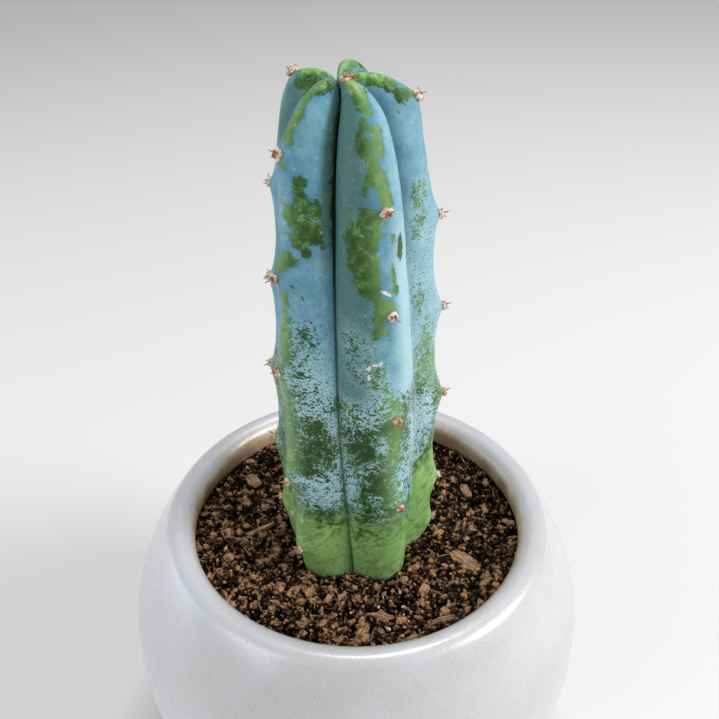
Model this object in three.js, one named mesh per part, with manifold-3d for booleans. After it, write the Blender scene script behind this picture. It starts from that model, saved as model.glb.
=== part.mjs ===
// A potted blue myrtle cactus: one five-ribbed stem in dark peat, in a ball-shaped glazed pot.
//
// Units are millimetres and degrees, +Z is up. The origin is the middle of the pot's foot, on the
// surface that the pot stands on. The front is -Y and the right-hand side is +X.
// An azimuth is measured from the front (-Y) towards the right (+X).

import * as THREE from "three";
import { mergeVertices } from "three/addons/utils/BufferGeometryUtils.js";
import Module from "manifold-3d";

const wasm = await Module();
wasm.setup();

// ---------------------------------------------------------------- driving dimensions

// gap between pieces that rest on or in each other
const CLEARANCE = 0.3;

// the pot: a ball with a rolled lip that is tangent to it, and a flat foot ring
const POT_RADIUS = 80;
const POT_CENTRE_HEIGHT = 68;
const POT_WALL = 7;
const POT_FLOOR = 8;
const MOUTH_RADIUS = 56;
const LIP_RADIUS = 5.3;
const FOOT_RING_WIDTH = 8;
const FOOT_RECESS = 2.5;
const FOOT_EDGE = 1.2;
const NECK_ELEVATION = 12;
const NECK_PULL = 10;
const POT_FACETS = 44;

// the soil: its level at the wall, the size of its crumbs, and the hollows in its top
const SOIL_BELOW_LIP = 4.8;
const SOIL_CRUMB = 4.2;
const CRUMB_RELIEF = 1.2;
const CRUMB_SHIFT = 0.32;
const SOIL_SEED = 11;
const SOIL_SWELL = { height: 0.6, length: 13 };
const SOIL_HOLLOWS = [
  { at: [0, 0], depth: 4, reach: 34 },
  { at: [-27, -6], depth: 2, reach: 8 },
];

// the stem, measured from the lip's plane: [radius, height] of the rib crests and of the grooves
// between them. Both lines have the same stations, from the buried tip to the growing tip.
const CREST_LINE = [
  [0, -48], [9, -46], [15, -38], [20.6, -22], [23.8, -6], [25, 9], [25.6, 30], [25.7, 50], [24.9, 72],
  [23.7, 94], [22.5, 112], [21.2, 127], [19, 139], [15.4, 148], [9.6, 153.2], [4, 154.6], [0, 152.9],
];
const GROOVE_LINE = [
  [0, -48], [9, -46], [14, -38], [16.4, -22], [17, -6], [18.4, 9], [20, 30], [20.8, 50], [20, 72],
  [18.2, 94], [16, 112], [13.4, 127], [10.4, 139], [7, 146.5], [3.4, 150.5], [1.4, 151.9], [0, 152.6],
];
// steps that the surface takes between one station and the next
const STATION_STEPS = [1, 1, 1, 2, 3, 5, 5, 5, 5, 5, 4, 4, 4, 4, 3, 2];
const COLUMNS_PER_RIB = 10;
const STEM_CREST_RADIUS = Math.max(...CREST_LINE.map(([radius]) => radius));

// the ribs: azimuth at mid height, how far the rib turns at its foot, how far it stands out past the
// others all the way up and at its shoulder, how high its nose stands above theirs, and its areoles'
// heights above the lip's plane
const RIBS = [
  { azimuth: -53, foot: 8, reach: 0, shoulder: 0, nose: 0, areoles: [6, 34, 74, 103.4, 137.6] },
  { azimuth: 26, foot: 2, reach: 0, shoulder: 0, nose: 0.6, areoles: [28, 62.5, 97, 126.5] },
  { azimuth: 92, foot: 0, reach: 0, shoulder: 0, nose: 1, areoles: [-1.2, 18.5, 54, 86, 116, 148] },
  { azimuth: 176, foot: 0, reach: 0, shoulder: 0, nose: 2.7, areoles: [12, 45, 78, 109, 141] },
  { azimuth: 249, foot: 0, reach: 0.5, shoulder: 2.3, nose: 0.2, areoles: [4, 30, 59.5, 91, 121, 151] },
];
const FOOT_TURN_HEIGHTS = [-30, 70];
const RIB_TWIST = 0.06;
const TWIST_MIDDLE = 75;
const NOSE_STATION = 14.2;
const NOSE_SPREAD = 1.1;
const SHOULDER_STATION = 13.2;
const SHOULDER_SPREAD = 1.6;

// the stem leans a little to the left, and its growing tip sits a little left of its middle
const STEM_LEAN = -0.011;
const TIP_SHIFT = -3;
const TIP_SHIFT_STATION = 13;

// a rib's profile: flat flanks that meet in a softened crest, and a slit between it and the next rib.
// FLANK_SHARE is the flanks' share of the rib's height; the rest is the slit's.
const FLANK_SHARE_BELOW = 0.92;
const FLANK_SHARE_AT_TIP = 0.5;
const CREST_SOFTNESS_BELOW = 0.3;
const CREST_SOFTNESS_AT_TIP = 0.7;
const SLIT_POWER = 6;
const PROFILE_STATIONS = [5, 12];

// the bump of each rib under an areole
const BUMP_HEIGHT = 2.5;
const BUMP_REACH = 6.2;
const BUMP_POWER = 1.35;
const BUMP_WIDTH = 0.42;

// the areoles: wool cushions with a few short spines
const AREOLE_RADIUS_LOW = 1.3;
const AREOLE_RADIUS_HIGH = 1.65;
const AREOLE_RADIUS_TIP = 1.3;
const AREOLE_THICKNESS = 0.7;
const AREOLE_SINK = 0.3;
const SPINE_BASE_RADIUS = 0.45;
const SPINE_LENGTH = [2.8, 4.4];
const SPINES_PER_AREOLE = [2, 5];
const SPINE_SPLAY = [26, 68];
const SPINE_ROOT = 1.1;
const SPINE_ABOVE_SOIL = 2.5;
const SPINE_SEED = 5;

// two young areoles sit side by side on the front rib's nose, beside the sunken tip
const TIP_RIB = 1;
const TIP_STATION = 14.9;
const TIP_ACROSS = [-0.12, 0.62];
const TIP_DIRECTION = new THREE.Vector3(0.12, -0.35, 0.93).normalize();

// the stem's hole in the soil reaches up to this station of the stem's lines
const HOLE_STATION = 7;

// loose pieces on the soil: place, turn, tilt and outline, each [x, y] along and across the piece
const CHIP_SINK = 0.6;
const CHIP_POCKET_DEPTH = 8;
const CHIPS = [
  { name: "bark_chip_1", at: [37, -15], turn: -48, tilt: [6, -4], thickness: 1.6,
    outline: [[-6.2, -1.4], [-3, -2.6], [2.4, -2.8], [5.6, -1.2], [6.6, 0.8], [3, 2.6], [-2.6, 2.4], [-5.8, 1]] },
  { name: "bark_chip_2", at: [-39, 25], turn: -55, tilt: [-5, 4], thickness: 1.4,
    outline: [[-3.8, -1.8], [0.4, -2.6], [3.9, -1.2], [3.2, 1.9], [-0.8, 2.4], [-3.4, 1.5]] },
  { name: "bark_chip_3", at: [8, -38], turn: -12, tilt: [-4, 6], thickness: 1.2,
    outline: [[-5.4, -0.9], [-1.6, -1.3], [2, -3], [2.6, -0.8], [5.6, 1], [1.8, 1.2], [-0.6, 2.6], [-1.8, 0.9]] },
  { name: "bark_chip_4", at: [1.6, -45.6], turn: 66, tilt: [8, 3], thickness: 1.5,
    outline: [[-4.4, -1.2], [0.2, -1.8], [4.2, -1], [4.6, 0.9], [0.6, 1.6], [-4, 1.1]] },
  { name: "bark_chip_5", at: [27.5, -40], turn: 14, tilt: [4, -5], thickness: 1.3,
    outline: [[-4.8, -0.8], [0.6, -1.3], [4.6, -0.6], [4.2, 0.9], [-0.4, 1.3], [-4.4, 0.7]] },
  { name: "bark_chip_6", at: [40.6, 19.6], turn: -78, tilt: [-6, -6], thickness: 1.4,
    outline: [[-4.2, -1.3], [-0.6, -2], [3.8, -1.2], [4, 1], [0.2, 1.8], [-3.6, 1.2]] },
  { name: "twig", at: [-37.5, -1.6], turn: 33, tilt: [2, -2], thickness: 1.5,
    outline: [[-9.6, -1.2], [-6.4, -2.1], [-3.2, -1.5], [2.4, -0.8], [9.4, -0.6], [9.6, 0.5], [2.2, 0.7],
      [-3.4, 1.2], [-8.2, 1.3]] },
];

// ---------------------------------------------------------------- materials

const material = (color, roughness) => new THREE.MeshStandardMaterial({ color, roughness, metalness: 0 });
const POT_GLAZE = material(0xdfdcdd, 0.35);
const PEAT = material(0x3a261a, 0.95);
const STEM_SKIN = material(0x5f8f86, 0.6);
const BARK = material(0x9a6f47, 0.85);

// ---------------------------------------------------------------- helpers

const radians = THREE.MathUtils.degToRad;
const lerp = THREE.MathUtils.lerp;
const smoothstep = THREE.MathUtils.smoothstep;
const vector2s = (pairs) => pairs.map(([x, y]) => new THREE.Vector2(x, y));

// a repeatable random number maker
function seededRandom(seed) {
  let state = seed >>> 0;
  return (low = 0, high = 1) => {
    state = (Math.imul(state, 1664525) + 1013904223) >>> 0;
    return lerp(low, high, state / 2 ** 32);
  };
}

// the same geometry with its shared vertices merged
function merged(geometry) {
  const bare = geometry.clone();
  bare.deleteAttribute("normal");
  bare.deleteAttribute("uv");
  return mergeVertices(bare, 1e-5);
}

// turns a closed geometry into a solid that can be cut and joined
function solid(geometry) {
  const closed = merged(geometry);
  return new wasm.Manifold(new wasm.Mesh({
    numProp: 3,
    vertProperties: new Float32Array(closed.attributes.position.array),
    triVerts: new Uint32Array(closed.index.array),
  }));
}

// a geometry from a flat list of coordinates and a list of corner numbers
function indexedGeometry(coordinates, corners) {
  const geometry = new THREE.BufferGeometry();
  geometry.setAttribute("position", new THREE.Float32BufferAttribute(coordinates, 3));
  geometry.setIndex(corners);
  geometry.computeVertexNormals();
  return geometry;
}

// turns a solid back into a geometry
function geometryOf(body) {
  const { vertProperties, triVerts } = body.getMesh();
  return indexedGeometry([...vertProperties], [...triVerts]);
}

// a closed geometry from rows of points; the first and last rows are single points
function rowsGeometry(rows) {
  const columns = rows[1].length;
  const last = rows.length - 1;
  const start = (row) => (row === 0 ? 0 : 1 + (row - 1) * columns);
  const corners = [];
  for (let column = 0; column < columns; column += 1) {
    const next = (column + 1) % columns;
    corners.push(0, start(1) + next, start(1) + column);
    for (let row = 1; row < last - 1; row += 1) {
      const [a, b] = [start(row) + column, start(row) + next];
      const [c, d] = [start(row + 1) + next, start(row + 1) + column];
      corners.push(a, b, c, a, c, d);
    }
    corners.push(start(last - 1) + column, start(last - 1) + next, start(last));
  }
  return indexedGeometry(rows.flat().flatMap((point) => point.toArray()), corners);
}

// turns a profile of [radius, height] points, bottom first and up the outside, about the Z axis
function turned(profile) {
  return new THREE.LatheGeometry(profile, POT_FACETS).rotateX(Math.PI / 2);
}

// points on an arc in the profile's plane, from one elevation to another
function arc(centreX, centreY, radius, from, to, steps) {
  return Array.from({ length: steps + 1 }, (_, i) => {
    const angle = lerp(from, to, i / steps);
    return new THREE.Vector2(centreX + radius * Math.cos(angle), centreY + radius * Math.sin(angle));
  });
}

// moves each point of a profile to its left by a distance
function offsetProfile(profile, distance) {
  return profile.map((point, i) => {
    const before = profile[Math.max(i - 1, 0)];
    const after = profile[Math.min(i + 1, profile.length - 1)];
    const along = after.clone().sub(before).normalize();
    return new THREE.Vector2(point.x - along.y * distance, point.y + along.x * distance);
  });
}

// ---------------------------------------------------------------- pot

const LIP_CIRCLE_RADIUS = MOUTH_RADIUS + LIP_RADIUS;
const LIP_ABOVE_CENTRE = Math.sqrt((POT_RADIUS - LIP_RADIUS) ** 2 - LIP_CIRCLE_RADIUS ** 2);
const LIP_HEIGHT = POT_CENTRE_HEIGHT + LIP_ABOVE_CENTRE;
const LIP_ELEVATION = Math.atan2(LIP_ABOVE_CENTRE, LIP_CIRCLE_RADIUS);
const FOOT_RADIUS = Math.sqrt(POT_RADIUS ** 2 - POT_CENTRE_HEIGHT ** 2);

// the inside of the pot, from the lip's innermost point down to the middle of the floor
function innerProfile() {
  const inside = POT_RADIUS - POT_WALL;
  const neckEnd = radians(NECK_ELEVATION);
  const floorEdge = Math.asin((POT_FLOOR - POT_CENTRE_HEIGHT) / inside);
  const ball = arc(0, POT_CENTRE_HEIGHT, inside, neckEnd, floorEdge, 6);
  const neckStart = new THREE.Vector2(MOUTH_RADIUS, LIP_HEIGHT);
  const upTheBall = new THREE.Vector2(-Math.sin(neckEnd), Math.cos(neckEnd));
  const neck = new THREE.CubicBezierCurve(
    neckStart,
    neckStart.clone().add(new THREE.Vector2(0, -NECK_PULL)),
    ball[0].clone().addScaledVector(upTheBall, NECK_PULL),
    ball[0],
  ).getPoints(4);
  return [...neck.slice(0, -1), ...ball, new THREE.Vector2(0, POT_FLOOR)];
}

function potGeometry() {
  const ringInside = FOOT_RADIUS - FOOT_RING_WIDTH;
  const footAngle = Math.asin((FOOT_EDGE - POT_CENTRE_HEIGHT) / POT_RADIUS);
  const foot = vector2s([
    [0, FOOT_RECESS], [ringInside - FOOT_RECESS, FOOT_RECESS], [ringInside, 0], [FOOT_RADIUS - FOOT_EDGE, 0],
  ]);
  const body = arc(0, POT_CENTRE_HEIGHT, POT_RADIUS, footAngle, LIP_ELEVATION, 11);
  const lip = arc(LIP_CIRCLE_RADIUS, LIP_HEIGHT, LIP_RADIUS, LIP_ELEVATION, Math.PI, 6);
  return turned([...foot, ...body, ...lip.slice(1), ...innerProfile().slice(1)]);
}

// ---------------------------------------------------------------- stem

const crestLine = new THREE.SplineCurve(vector2s(CREST_LINE));
const grooveLine = new THREE.SplineCurve(vector2s(GROOVE_LINE));
const LAST_STATION = CREST_LINE.length - 1;

const crestAt = (station) => crestLine.getPoint(station / LAST_STATION);
const grooveAt = (station) => grooveLine.getPoint(station / LAST_STATION);

// the station on the crest line at a height on the stem's side
function stationAt(height) {
  const above = CREST_LINE.findIndex(([, level]) => level >= height);
  const [low, high] = [CREST_LINE[above - 1][1], CREST_LINE[above][1]];
  return above - 1 + (height - low) / (high - low);
}

// the azimuth of a rib's crest at a height, before the twist that all the ribs share
function crestAzimuth(rib, height) {
  const { azimuth, foot } = RIBS[(rib + RIBS.length) % RIBS.length];
  return azimuth + foot * (1 - smoothstep(height, ...FOOT_TURN_HEIGHTS));
}

// the azimuth at a place across a rib: -1 and 1 are its grooves, 0 is its crest
function azimuthAcross(rib, across, height) {
  const azimuth = crestAzimuth(rib, height);
  const neighbour = crestAzimuth(rib + Math.sign(across), height);
  const turnBetween = THREE.MathUtils.euclideanModulo(neighbour - azimuth + 180, 360) - 180;
  return azimuth + (turnBetween / 2) * Math.abs(across) + RIB_TWIST * (TWIST_MIDDLE - height);
}

// the stem's middle at a station
function axisAt(station, height) {
  const shift = smoothstep(station, TIP_SHIFT_STATION, LAST_STATION) * TIP_SHIFT;
  return STEM_LEAN * Math.max(height, 0) + shift;
}

// how far a rib swells out towards its nearest areole
function bumpAt(rib, across, crest) {
  const spread = Math.exp(-((across / BUMP_WIDTH) ** 2));
  const swells = RIBS[rib].areoles.map((height) => {
    const distance = crest.distanceTo(crestAt(stationAt(height)));
    return Math.exp(-((distance / BUMP_REACH) ** BUMP_POWER));
  });
  return BUMP_HEIGHT * spread * Math.max(...swells);
}

// a bell-shaped swell of a rib about one station
const swellAt = (station, middle, spread) => Math.exp(-(((station - middle) / spread) ** 2));

// how far up a rib its surface stands at a place across it: 0 in the groove, 1 on the crest
function lobeAt(across, station) {
  const towardsTip = smoothstep(station, ...PROFILE_STATIONS);
  const share = lerp(FLANK_SHARE_BELOW, FLANK_SHARE_AT_TIP, towardsTip);
  const softness = lerp(CREST_SOFTNESS_BELOW, CREST_SOFTNESS_AT_TIP, towardsTip);
  const flank = (Math.hypot(across, softness) - softness) / (Math.hypot(1, softness) - softness);
  return 1 - share * flank - (1 - share) * Math.abs(across) ** SLIT_POWER;
}

// where a rib's surface lies, grown outwards by `extra`
function stemPoint(rib, across, station, extra = 0) {
  const [crest, groove] = [crestAt(station), grooveAt(station)];
  const lobe = lobeAt(across, station);
  const nose = RIBS[rib].nose * swellAt(station, NOSE_STATION, NOSE_SPREAD);
  const reach = (RIBS[rib].reach * crest.x) / STEM_CREST_RADIUS
    + RIBS[rib].shoulder * swellAt(station, SHOULDER_STATION, SHOULDER_SPREAD);
  const along = crestLine.getTangent(Math.min(station, LAST_STATION - 0.5) / LAST_STATION);
  const bump = bumpAt(rib, across, crest);
  const radius = lerp(groove.x, crest.x + reach, lobe) + bump * along.y + extra;
  const height = lerp(groove.y, crest.y + nose, lobe) - bump * along.x;
  const azimuth = radians(azimuthAcross(rib, across, height));
  return new THREE.Vector3(
    axisAt(station, height) + radius * Math.sin(azimuth),
    -radius * Math.cos(azimuth),
    LIP_HEIGHT + height,
  );
}

// one ring of the stem's surface, grown outwards by `extra`
function stemRing(station, extra) {
  return RIBS.flatMap((_, rib) => Array.from({ length: COLUMNS_PER_RIB }, (__, column) =>
    stemPoint(rib, (2 * column) / COLUMNS_PER_RIB - 1, station, extra)));
}

// the stem's bare surface up to a station, closed there by a flat cone
function stemGeometry(topStation, extra) {
  const stations = STATION_STEPS.flatMap((steps, span) =>
    Array.from({ length: steps }, (_, step) => span + step / steps));
  const rings = stations.filter((station) => station > 0 && station < topStation);
  const middle = (station, lift) => {
    const { y } = crestAt(station);
    return new THREE.Vector3(axisAt(station, y), 0, LIP_HEIGHT + y + lift);
  };
  return rowsGeometry([[middle(0, -extra)], ...rings.map((station) => stemRing(station, extra)),
    [middle(topStation, 0)]]);
}

// the place and the outward direction of an areole on a rib's crest
function areoleFrame(rib, height) {
  const station = stationAt(height);
  const place = stemPoint(rib, 0, station);
  const up = stemPoint(rib, 0, station + 0.2).sub(stemPoint(rib, 0, station - 0.2)).normalize();
  const side = stemPoint(rib, 0.15, station).sub(stemPoint(rib, -0.15, station)).normalize();
  return { place, out: side.cross(up).normalize() };
}

// a wool cushion with its spines, standing on the stem; a spine that would reach the soil is left off
function areoleSolid({ place, out }, radius, random) {
  const turn = new THREE.Quaternion().setFromUnitVectors(new THREE.Vector3(0, 0, 1), out);
  const set = (geometry) => solid(geometry.translate(0, 0, AREOLE_SINK).applyQuaternion(turn).translate(...place));
  const cushion = new THREE.SphereGeometry(radius, 7, 4).scale(1, 1, AREOLE_THICKNESS).rotateZ(random(0, 1));
  let body = set(cushion);
  const count = Math.round(random(...SPINES_PER_AREOLE));
  const firstTurn = random(0, 360);
  for (let i = 0; i < count; i += 1) {
    const length = random(...SPINE_LENGTH);
    const splay = radians(random(...SPINE_SPLAY));
    const about = radians(firstTurn + (360 * i) / count);
    const spine = new THREE.ConeGeometry(SPINE_BASE_RADIUS, length, 3).rotateX(Math.PI / 2);
    spine.translate(0, 0, length / 2 - SPINE_ROOT).rotateY(splay).rotateZ(about);
    const placed = set(spine);
    if (placed.boundingBox().min[2] > LIP_HEIGHT - SOIL_BELOW_LIP + SPINE_ABOVE_SOIL) {
      body = body.add(placed);
    }
  }
  return body;
}

function stemSolid() {
  const random = seededRandom(SPINE_SEED);
  let body = solid(stemGeometry(LAST_STATION, 0));
  RIBS.forEach(({ areoles }, rib) => areoles.forEach((height) => {
    const radius = lerp(AREOLE_RADIUS_LOW, AREOLE_RADIUS_HIGH, height / CREST_LINE[LAST_STATION][1]);
    body = body.add(areoleSolid(areoleFrame(rib, height), radius, random));
  }));
  for (const across of TIP_ACROSS) {
    const frame = { place: stemPoint(TIP_RIB, across, TIP_STATION), out: TIP_DIRECTION };
    body = body.add(areoleSolid(frame, AREOLE_RADIUS_TIP, random));
  }
  return body;
}

// ---------------------------------------------------------------- soil

// the soil's mean level: nearly flat, sunken round the stem and at its left foot
function soilLevel(x, y) {
  const hollow = SOIL_HOLLOWS.reduce((sum, { at, depth, reach }) =>
    sum + depth * Math.exp(-((Math.hypot(x - at[0], y - at[1]) / reach) ** 2)), 0);
  const swell = SOIL_SWELL.height * Math.sin(x / SOIL_SWELL.length) * Math.cos(y / SOIL_SWELL.length);
  return LIP_HEIGHT - SOIL_BELOW_LIP - hollow + swell;
}

// a deep block whose top is a jittered grid of crumbs
function crumbBlock() {
  const random = seededRandom(SOIL_SEED);
  const size = 2 * POT_RADIUS;
  const cells = Math.round(size / SOIL_CRUMB);
  const block = merged(new THREE.BoxGeometry(size, size, LIP_HEIGHT, cells, cells, 1).translate(0, 0, LIP_HEIGHT / 2));
  const place = block.attributes.position;
  const shift = SOIL_CRUMB * CRUMB_SHIFT;
  for (let i = 0; i < place.count; i += 1) {
    const [x, y, z] = [place.getX(i), place.getY(i), place.getZ(i)];
    const inner = Math.max(Math.abs(x), Math.abs(y)) < POT_RADIUS - 1;
    if (z > LIP_HEIGHT - 1 && inner) {
      const level = soilLevel(x, y) + random(-CRUMB_RELIEF, CRUMB_RELIEF);
      place.setXYZ(i, x + random(-shift, shift), y + random(-shift, shift), level);
    }
  }
  return solid(block);
}

function soilSolid() {
  const side = offsetProfile(innerProfile(), -CLEARANCE).reverse();
  side[0].x = 0;
  const top = new THREE.Vector2(0, side[side.length - 1].y);
  let body = solid(turned([...side, top])).intersect(crumbBlock());
  body = body.subtract(solid(stemGeometry(HOLE_STATION, CLEARANCE)));
  for (const chip of CHIPS) {
    body = body.subtract(solid(chipGeometry(chip, CLEARANCE, -CLEARANCE, CHIP_POCKET_DEPTH)));
  }
  return body;
}

// ---------------------------------------------------------------- loose chips

// an outline grown by a margin on every side
function grownOutline(outline, margin) {
  const outward = (from, to) => new THREE.Vector2(to.y - from.y, from.x - to.x).normalize();
  const count = outline.length;
  return outline.map((point, i) => {
    const before = outward(outline[(i + count - 1) % count], point);
    const after = outward(point, outline[(i + 1) % count]);
    const reach = margin / (1 + before.dot(after));
    return point.clone().addScaledVector(before.add(after), reach);
  });
}

// a chip as a plate between two depths, grown by a margin, turned and tilted on the soil
function chipGeometry(chip, margin, bottom, top) {
  const outline = new THREE.Shape(grownOutline(vector2s(chip.outline), margin));
  const plate = new THREE.ExtrudeGeometry(outline, { depth: top - bottom, bevelEnabled: false });
  const [x, y] = chip.at;
  plate.translate(0, 0, bottom).rotateX(radians(chip.tilt[0])).rotateY(radians(chip.tilt[1]));
  return plate.rotateZ(radians(chip.turn)).translate(x, y, soilLevel(x, y) - CHIP_SINK);
}

// ---------------------------------------------------------------- the part

const part = new THREE.Group();

function addPiece(name, geometry, finish) {
  const piece = new THREE.Mesh(geometry, finish);
  piece.name = name;
  part.add(piece);
}

addPiece("pot", potGeometry(), POT_GLAZE);
addPiece("soil", geometryOf(soilSolid()), PEAT);
addPiece("cactus_stem", geometryOf(stemSolid()), STEM_SKIN);
for (const chip of CHIPS) {
  addPiece(chip.name, chipGeometry(chip, 0, 0, chip.thickness), BARK);
}

export default part;
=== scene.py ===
# %% [markdown]
# # A potted blue myrtle cactus
#
# The real object is one five-ribbed cactus in dark peat, in a ball-shaped pot with a pearly glaze.
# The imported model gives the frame: metres, +Z up, the pot's foot on the floor at the origin, -Y in
# front. Its solids are coarse, so every visible piece is modelled again here, finer and in the same
# place, and the solids stay behind for collision.

import math
import random

import bpy
import numpy as np
from mathutils import Matrix, Quaternion, Vector, noise
from mathutils.bvhtree import BVHTree


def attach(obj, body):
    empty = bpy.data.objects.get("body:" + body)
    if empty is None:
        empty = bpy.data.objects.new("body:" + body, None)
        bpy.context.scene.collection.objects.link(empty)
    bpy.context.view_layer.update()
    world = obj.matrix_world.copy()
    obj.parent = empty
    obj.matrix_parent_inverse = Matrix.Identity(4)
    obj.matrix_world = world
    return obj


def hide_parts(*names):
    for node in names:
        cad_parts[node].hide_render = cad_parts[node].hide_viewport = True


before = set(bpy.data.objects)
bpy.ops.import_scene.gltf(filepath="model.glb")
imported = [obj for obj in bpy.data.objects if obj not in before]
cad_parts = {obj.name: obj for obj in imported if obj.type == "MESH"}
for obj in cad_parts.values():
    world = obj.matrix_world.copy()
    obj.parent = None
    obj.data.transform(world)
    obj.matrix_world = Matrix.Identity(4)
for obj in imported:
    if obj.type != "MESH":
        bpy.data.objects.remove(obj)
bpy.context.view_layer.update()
bpy.ops.object.select_all(action="DESELECT")
print("nodes:", sorted(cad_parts))

MM = 0.001

# %% [markdown]
# ## The camera
#
# The photograph looks down on the pot at about 34 degrees. Its place was worked out from the pot's
# mouth, which is a circle seen as an ellipse, so the camera comes first and is never moved to suit
# a piece.

# %% Place the camera
CAMERA_PLACE = (0.0010, -0.2299, 0.3343)
CAMERA_PITCH = 34.21
CAMERA_FOCAL = 45.06
SENSOR_WIDTH = 36.0
NEAREST_SEEN = 0.01

camera_data = bpy.data.cameras.new("camera")
camera_data.sensor_width = SENSOR_WIDTH
camera_data.lens = CAMERA_FOCAL
camera_data.clip_start = NEAREST_SEEN
camera = bpy.data.objects.new("camera", camera_data)
camera.location = CAMERA_PLACE
camera.rotation_euler = (math.radians(90 - CAMERA_PITCH), 0, 0)
bpy.context.scene.collection.objects.link(camera)
bpy.context.scene.camera = camera
bpy.context.scene.view_settings.view_transform = "Standard"
print("camera at", CAMERA_PLACE)

# %% [markdown]
# ## Shader maths
#
# A finish is a tree of nodes. Wiring it by hand hides the sum that it stands for, so one small class
# wraps a socket and lets Python's own operators add the Math nodes. Every other node comes from
# `Finish.node`, which sets the node up first and then feeds its sockets.


# %% A socket that does arithmetic
class Socket:
    """An output of a shader node. Arithmetic on it adds Math nodes."""

    def __init__(self, finish, socket):
        self.finish = finish
        self.socket = socket

    def math(self, operation, *values):
        return self.finish.node("ShaderNodeMath", {"operation": operation}, dict(enumerate(values)))

    def __add__(self, other):
        return self.math("ADD", self, other)

    def __radd__(self, other):
        return self.math("ADD", other, self)

    def __sub__(self, other):
        return self.math("SUBTRACT", self, other)

    def __rsub__(self, other):
        return self.math("SUBTRACT", other, self)

    def __mul__(self, other):
        return self.math("MULTIPLY", self, other)

    def smaller(self, other):
        return self.math("MINIMUM", self, other)

    def between(self, low, high):
        """0 at low and 1 at high, with a smooth step between them."""
        limits = {"Value": self, "From Min": low, "From Max": high}
        return self.finish.node("ShaderNodeMapRange", {"interpolation_type": "SMOOTHSTEP"}, limits)


# %% A finish: one material and its nodes
class Finish:
    """A material that is being mixed."""

    def __init__(self, name):
        self.material = bpy.data.materials.new(name)
        self.material.use_nodes = True
        self.tree = self.material.node_tree
        self.shader = self.tree.nodes["Principled BSDF"]
        self.place = self.node("ShaderNodeTexCoord", output="Object")
        self.unwrapped = self.node("ShaderNodeTexCoord", output="UV")

    def node(self, kind, settings=None, inputs=None, output=0):
        """Adds a node: its settings first, then the values or links of its sockets."""
        node = self.tree.nodes.new(kind)
        for name, value in (settings or {}).items():
            if name == "stops":
                self.set_stops(node.color_ramp, value)
            else:
                setattr(node, name, value)
        self.feed(node, inputs or {})
        return Socket(self, node.outputs[output])

    def feed(self, node, inputs):
        for name, value in inputs.items():
            if isinstance(value, Socket):
                self.tree.links.new(value.socket, node.inputs[name])
            else:
                node.inputs[name].default_value = value

    @staticmethod
    def set_stops(ramp, stops):
        """Gives a colour ramp its stops, each (position, colour)."""
        while len(ramp.elements) < len(stops):
            ramp.elements.new(1.0)
        for element, (position, colour) in zip(ramp.elements, stops):
            element.position = position
            element.color = (*colour, 1)

    def attribute(self, name):
        """A value that the mesh carries at each of its vertices."""
        return self.node("ShaderNodeAttribute", {"attribute_name": name}, output="Fac")

    def noise(self, size_mm, detail=2.0, roughness=0.5, place=None):
        """Cloudy noise whose lumps are about size_mm across."""
        inputs = {"Vector": place or self.place, "Scale": 1 / (size_mm * MM)}
        inputs.update(Detail=detail, Roughness=roughness)
        return self.node("ShaderNodeTexNoise", inputs=inputs)

    def specks(self, spacing_mm, core, rim):
        """1 on scattered specks and 0 off them; core and rim are in units of their spacing."""
        inputs = {"Vector": self.place, "Scale": 1 / (spacing_mm * MM)}
        distance = self.node("ShaderNodeTexVoronoi", inputs=inputs, output="Distance")
        return 1 - distance.between(core, rim)

    def distance_to(self, place):
        """The distance to one place, given in mm, in metres."""
        inputs = {0: self.place, 1: [part * MM for part in place]}
        return self.node("ShaderNodeVectorMath", {"operation": "DISTANCE"}, inputs, output="Value")

    def strokes(self, spacing_mm, turn, scale):
        """The distance to the nearest of many strokes, drawn out in one direction of the unwrapping."""
        inputs = {"Vector": self.drawn_out(turn, scale), "Scale": 1 / (spacing_mm * MM)}
        return self.node("ShaderNodeTexVoronoi", {"voronoi_dimensions": "2D"}, inputs, output="Distance")

    def stretched(self, turn, scale, place=None):
        """The place, turned about its third axis and then scaled along each axis."""
        inputs = {"Vector": place or self.place, "Rotation": (0, 0, turn)}
        turned = self.node("ShaderNodeMapping", inputs=inputs)
        return self.node("ShaderNodeMapping", inputs={"Vector": turned, "Scale": scale})

    def drawn_out(self, turn, scale):
        """The unwrapping, turned and scaled, for marks that follow the surface."""
        return self.stretched(turn, scale, self.unwrapped)

    def ramp(self, value, *stops):
        """A colour ramp; each stop is (position, colour)."""
        return self.node("ShaderNodeValToRGB", {"stops": stops}, {0: value}, output="Color")

    def mix(self, amount, first, second):
        """A mix of two colours."""
        colours = {6: self.colour(first), 7: self.colour(second)}
        return self.node("ShaderNodeMix", {"data_type": "RGBA"}, {0: amount, **colours}, output=2)

    def layered(self, ground, *layers):
        """A colour with others laid over it in turn, each (amount, colour)."""
        for amount, colour in layers:
            ground = self.mix(amount, ground, colour)
        return ground

    @staticmethod
    def colour(value):
        return value if isinstance(value, Socket) else (*value, 1)

    def bump(self, height, depth_mm, strength=1.0):
        """A normal that follows a height field of 0 to 1, depth_mm deep."""
        inputs = {"Height": height, "Distance": depth_mm * MM, "Strength": strength}
        return self.node("ShaderNodeBump", inputs=inputs, output="Normal")

    def surface(self, **inputs):
        """Feeds the Principled BSDF; an underscore in a name stands for a space."""
        named = {name.replace("_", " "): value for name, value in inputs.items()}
        self.feed(self.shader, named)


# %% [markdown]
# ## Small tools for the modelling
#
# Each new piece starts as a primitive in edit mode. A finished piece gets its finish, rides on the
# one body and stands for the CAD node that it replaces.


# %% Tools that the pieces share
DOUBLES_WITHIN = 0.002 * MM


def active_object(name):
    """Names the object that an operator has just made."""
    piece = bpy.context.object
    piece.name = name
    piece.data.name = name
    return piece


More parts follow.
